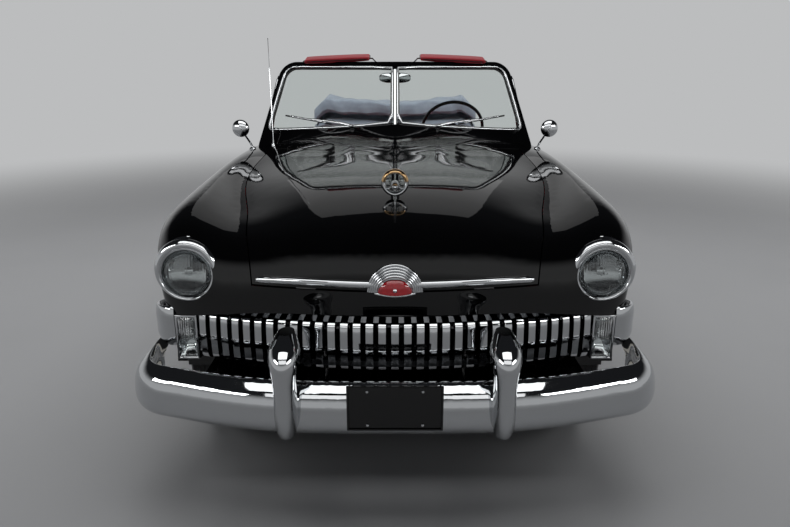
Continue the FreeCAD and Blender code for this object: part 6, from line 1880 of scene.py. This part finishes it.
underside = {
    "drum": [(0, -44), (150, -44), (158, -36), (158, -4), (150, 0), (0, 0)],
    "rearDrum": (668, 1177, 355),
    "frontDrum": (650, -1820, 355),
    "leaves": 4,
    "leafSide": 480,
    "leafHalf": 590,
    "leafShorter": 120,
    "leafHeight": 300,
    "leafDrop": 9,
    "leafRise": 26,
    "leafSection": [(-26, -3), (26, -3), (26, 3), (-26, 3)],
    "tieRod": [(-600, -1690, 300), (0, -1680, 290), (600, -1690, 300)],
    "tieRodThick": 24,
    "pipe": [(202, 560, 215), (240, 700, 235), (330, 800, 330), (356, 1177, 560), (356, 1500, 440),
             (400, 1900, 300), (420, 2300, 270), (420, 2620, 262)],
    "pipeThick": 46,
    "tip": [(20, 0), (24, 0), (25, 60), (21, 60), (20, 0)],
    "tipPlace": (420, 2600, 262),
}


def makeUnderside():
    # drums, spring leaves, tie rod and a tail pipe, seen from below
    builder = bmesh.new()
    rearSide, axle, rearHeight = underside["rearDrum"]
    frontSide, frontAxle, frontHeight = underside["frontDrum"]
    for side, ending in ((1, "left"), (-1, "right")):
        turned(builder, underside["drum"], (side * rearSide, axle, rearHeight), (side, 0, 0), 48)
        front = bmesh.new()
        turned(front, underside["drum"], (side * frontSide, frontAxle, frontHeight), (side, 0, 0), 48)
        newPiece("brake_drum_front_" + ending, front, [castIron], "knuckle_" + ending, (), 45)
    for side in (-1, 1):
        for leaf in range(underside["leaves"]):
            half = underside["leafHalf"] - leaf * underside["leafShorter"]
            level = underside["leafHeight"] - leaf * underside["leafDrop"]
            line = [Vector((side * underside["leafSide"], axle + half * k / 4,
                            level + underside["leafRise"] * (k / 4) ** 2)) for k in range(-4, 5)]
            swept(builder, line, underside["leafSection"], (0, 0, 1), 24)
    rod, pipe = underside["tieRodThick"], underside["pipeThick"]
    swept(builder, underside["tieRod"], oval(rod, rod, 12), (0, 0, 1), 24)
    swept(builder, underside["pipe"], oval(pipe, pipe, 20), (0, 0, 1), 120, finish=1)
    turned(builder, underside["tip"], underside["tipPlace"], (0, 1, 0), 32, finish=2)
    closeEnds(builder)
    newPiece("underside_parts", builder, [chassisPaint, castIron, chrome], "root", (), 45)


makeUnderside()
print("rear and underside made")


# floor, light and camera

studio = {
    "floorSize": 160.0,
    "floorColour": "#A9AAAC",
    "floorMottle": "#B0B1B3",
    "backColour": "#BCBDBE",
    "darkAbove": "#1F2022",
    "paleUpTo": 0.10,
    "darkFrom": 0.42,
    "fadeStart": 3.0,
    "fadeEnd": 9.0,
    # each lamp's power, place, the spot that it faces, and size; wing, panel and side lamps stand in pairs
    "keyPower": 250.0,
    "keyPlace": (0.0, 0.0, 5.2),
    "keyTarget": (0.0, 0.0, 0.0),
    "keySize": (6.5, 6.5),
    "bankPower": 38.0,
    "bankPlace": (0.0, -7.4, 3.2),
    "bankTarget": (0.0, -1.2, 0.6),
    "bankSize": (6.0, 1.5),
    "trimPower": 210.0,
    "trimPlace": (0.0, -5.6, 6.4),
    "trimTarget": (0.0, -1.0, 1.2),
    "trimSize": (8.0, 4.0),
    "wingPower": 60.0,
    "wingPlace": (4.3, -5.6, 2.3),
    "wingTarget": (0.5, -2.6, 0.5),
    "wingSize": (3.2, 0.7),
    "panelPower": 6.5,
    "panelPlace": (1.45, 6.0, 4.9),
    "panelTarget": (1.45, -1.9, 1.0),
    "panelSize": (2.6, 3.6),
    "sidePower": 45.0,
    "sidePlace": (5.2, -0.8, 2.6),
    "sideTarget": (0.0, 0.0, 0.6),
    "sideSize": (3.0, 1.6),
}
camera = {
    "place": (0.0, -4.433, 1.470),
    "pitch": 17.2,
    "focalPixels": 628.0,
    "frameWidth": 790.0,
    "sensor": 36.0,
}


def makeFloor():
    builder = bmesh.new()
    bmesh.ops.create_grid(builder, x_segments=1, y_segments=1, size=studio["floorSize"] / 2)
    mesh = bpy.data.meshes.new("studio_floor")
    builder.to_mesh(mesh)
    builder.free()
    floor = bpy.data.objects.new("studio_floor", mesh)
    bpy.context.scene.collection.objects.link(floor)
    # painted concrete that runs out into the pale backdrop, so no edge shows
    material, tree, shader, place = startMaterial("pale_floor", {"Roughness": 0.6})
    tree.links.new(tinted(tree, noiseAt(tree, place, 900, 3), studio["floorColour"], studio["floorMottle"]),
                   shader.inputs["Base Color"])
    reach = addNode(tree, "ShaderNodeVectorMath", {"operation": "LENGTH"}, {0: place}).outputs["Value"]
    fade = addNode(tree, "ShaderNodeMapRange", {"interpolation_type": "SMOOTHSTEP"}, {
        "Value": reach, "From Min": studio["fadeStart"], "From Max": studio["fadeEnd"]}).outputs["Result"]
    glow = addNode(tree, "ShaderNodeEmission", inputs={"Color": hexColour(studio["backColour"])})
    mix = addNode(tree, "ShaderNodeMixShader", inputs={
        "Fac": fade, 1: shader.outputs["BSDF"], 2: glow.outputs["Emission"]})
    output = [node for node in tree.nodes if node.type == "OUTPUT_MATERIAL"][0]
    tree.links.new(mix.outputs["Shader"], output.inputs["Surface"])
    mesh.materials.append(material)


def makeWorld():
    # the backdrop is pale at eye level and dark overhead, so that the paint mirrors little from above
    world = bpy.data.worlds.new("studio_world")
    world.use_nodes = True
    tree = world.node_tree
    back = tree.nodes["Background"]
    way = addNode(tree, "ShaderNodeTexCoord").outputs["Generated"]
    height = addNode(tree, "ShaderNodeSeparateXYZ", inputs={"Vector": way}).outputs["Z"]
    rise = addNode(tree, "ShaderNodeMapRange", {"interpolation_type": "SMOOTHSTEP"},
                   {"Value": height, "From Min": studio["paleUpTo"],
                    "From Max": studio["darkFrom"]}).outputs["Result"]
    tree.links.new(tinted(tree, rise, studio["backColour"], studio["darkAbove"]), back.inputs["Color"])
    bpy.context.scene.world = world


def makeLight(name, kind, mirrored, side=1):
    # kind is the first word of the lamp's settings in the studio
    place, target = Vector(studio[kind + "Place"]), Vector(studio[kind + "Target"])
    place.x *= side
    target.x *= side
    data = bpy.data.lights.new(name, "AREA")
    data.shape = "RECTANGLE"
    data.size, data.size_y = studio[kind + "Size"]
    data.energy = studio[kind + "Power"]
    lamp = bpy.data.objects.new(name, data)
    lamp.location = place
    lamp.rotation_euler = (target - place).to_track_quat("-Z", "Y").to_euler()
    lamp.visible_camera = False
    # a lamp that the paint and the chrome don't mirror only fills in
    lamp.visible_glossy = mirrored
    bpy.context.scene.collection.objects.link(lamp)
    return lamp


makeFloor()
makeWorld()
makeLight("key", "key", False)
# these banks light and show in the bright trim alone, so that the paint stays dark
trimBanks = [makeLight("front_bank", "bank", True), makeLight("trim_bank", "trim", True)]
trimBanks += [makeLight(f"wing_bank_{side}", "wing", True, side) for side in (-1, 1)]
brightPieces = bpy.data.collections.new("bright_pieces")
for name in ("windshield_mouldings", "wiper_arms", "mirror_heads", "hood_lip_bar", "hood_badge",
             "hood_ornament", "parking_lamp_glass", "antenna_mast", "vent_frame_left", "vent_frame_right"):
    brightPieces.objects.link(bpy.data.objects[name])
for name in ("grille_bar", "headlamp_rims", "lamp_wraps", "front_bumper", "rear_bumper"):
    brightPieces.objects.link(nodes[name])
for lamp in trimBanks:
    lamp.light_linking.receiver_collection = brightPieces
for side in (-1, 1):
    makeLight(f"side_{side}", "side", False, side)
    makeLight(f"rear_panel_{side}", "panel", True, side)
bpy.context.scene.view_settings.view_transform = "Standard"

cameraData = bpy.data.cameras.new("camera")
cameraData.sensor_width = camera["sensor"]
cameraData.lens = camera["sensor"] * camera["focalPixels"] / camera["frameWidth"]
cameraObject = bpy.data.objects.new("camera", cameraData)
cameraObject.location = camera["place"]
cameraObject.rotation_euler = (math.radians(90 - camera["pitch"]), 0, 0)
bpy.context.scene.collection.objects.link(cameraObject)
bpy.context.scene.camera = cameraObject
print("camera set")
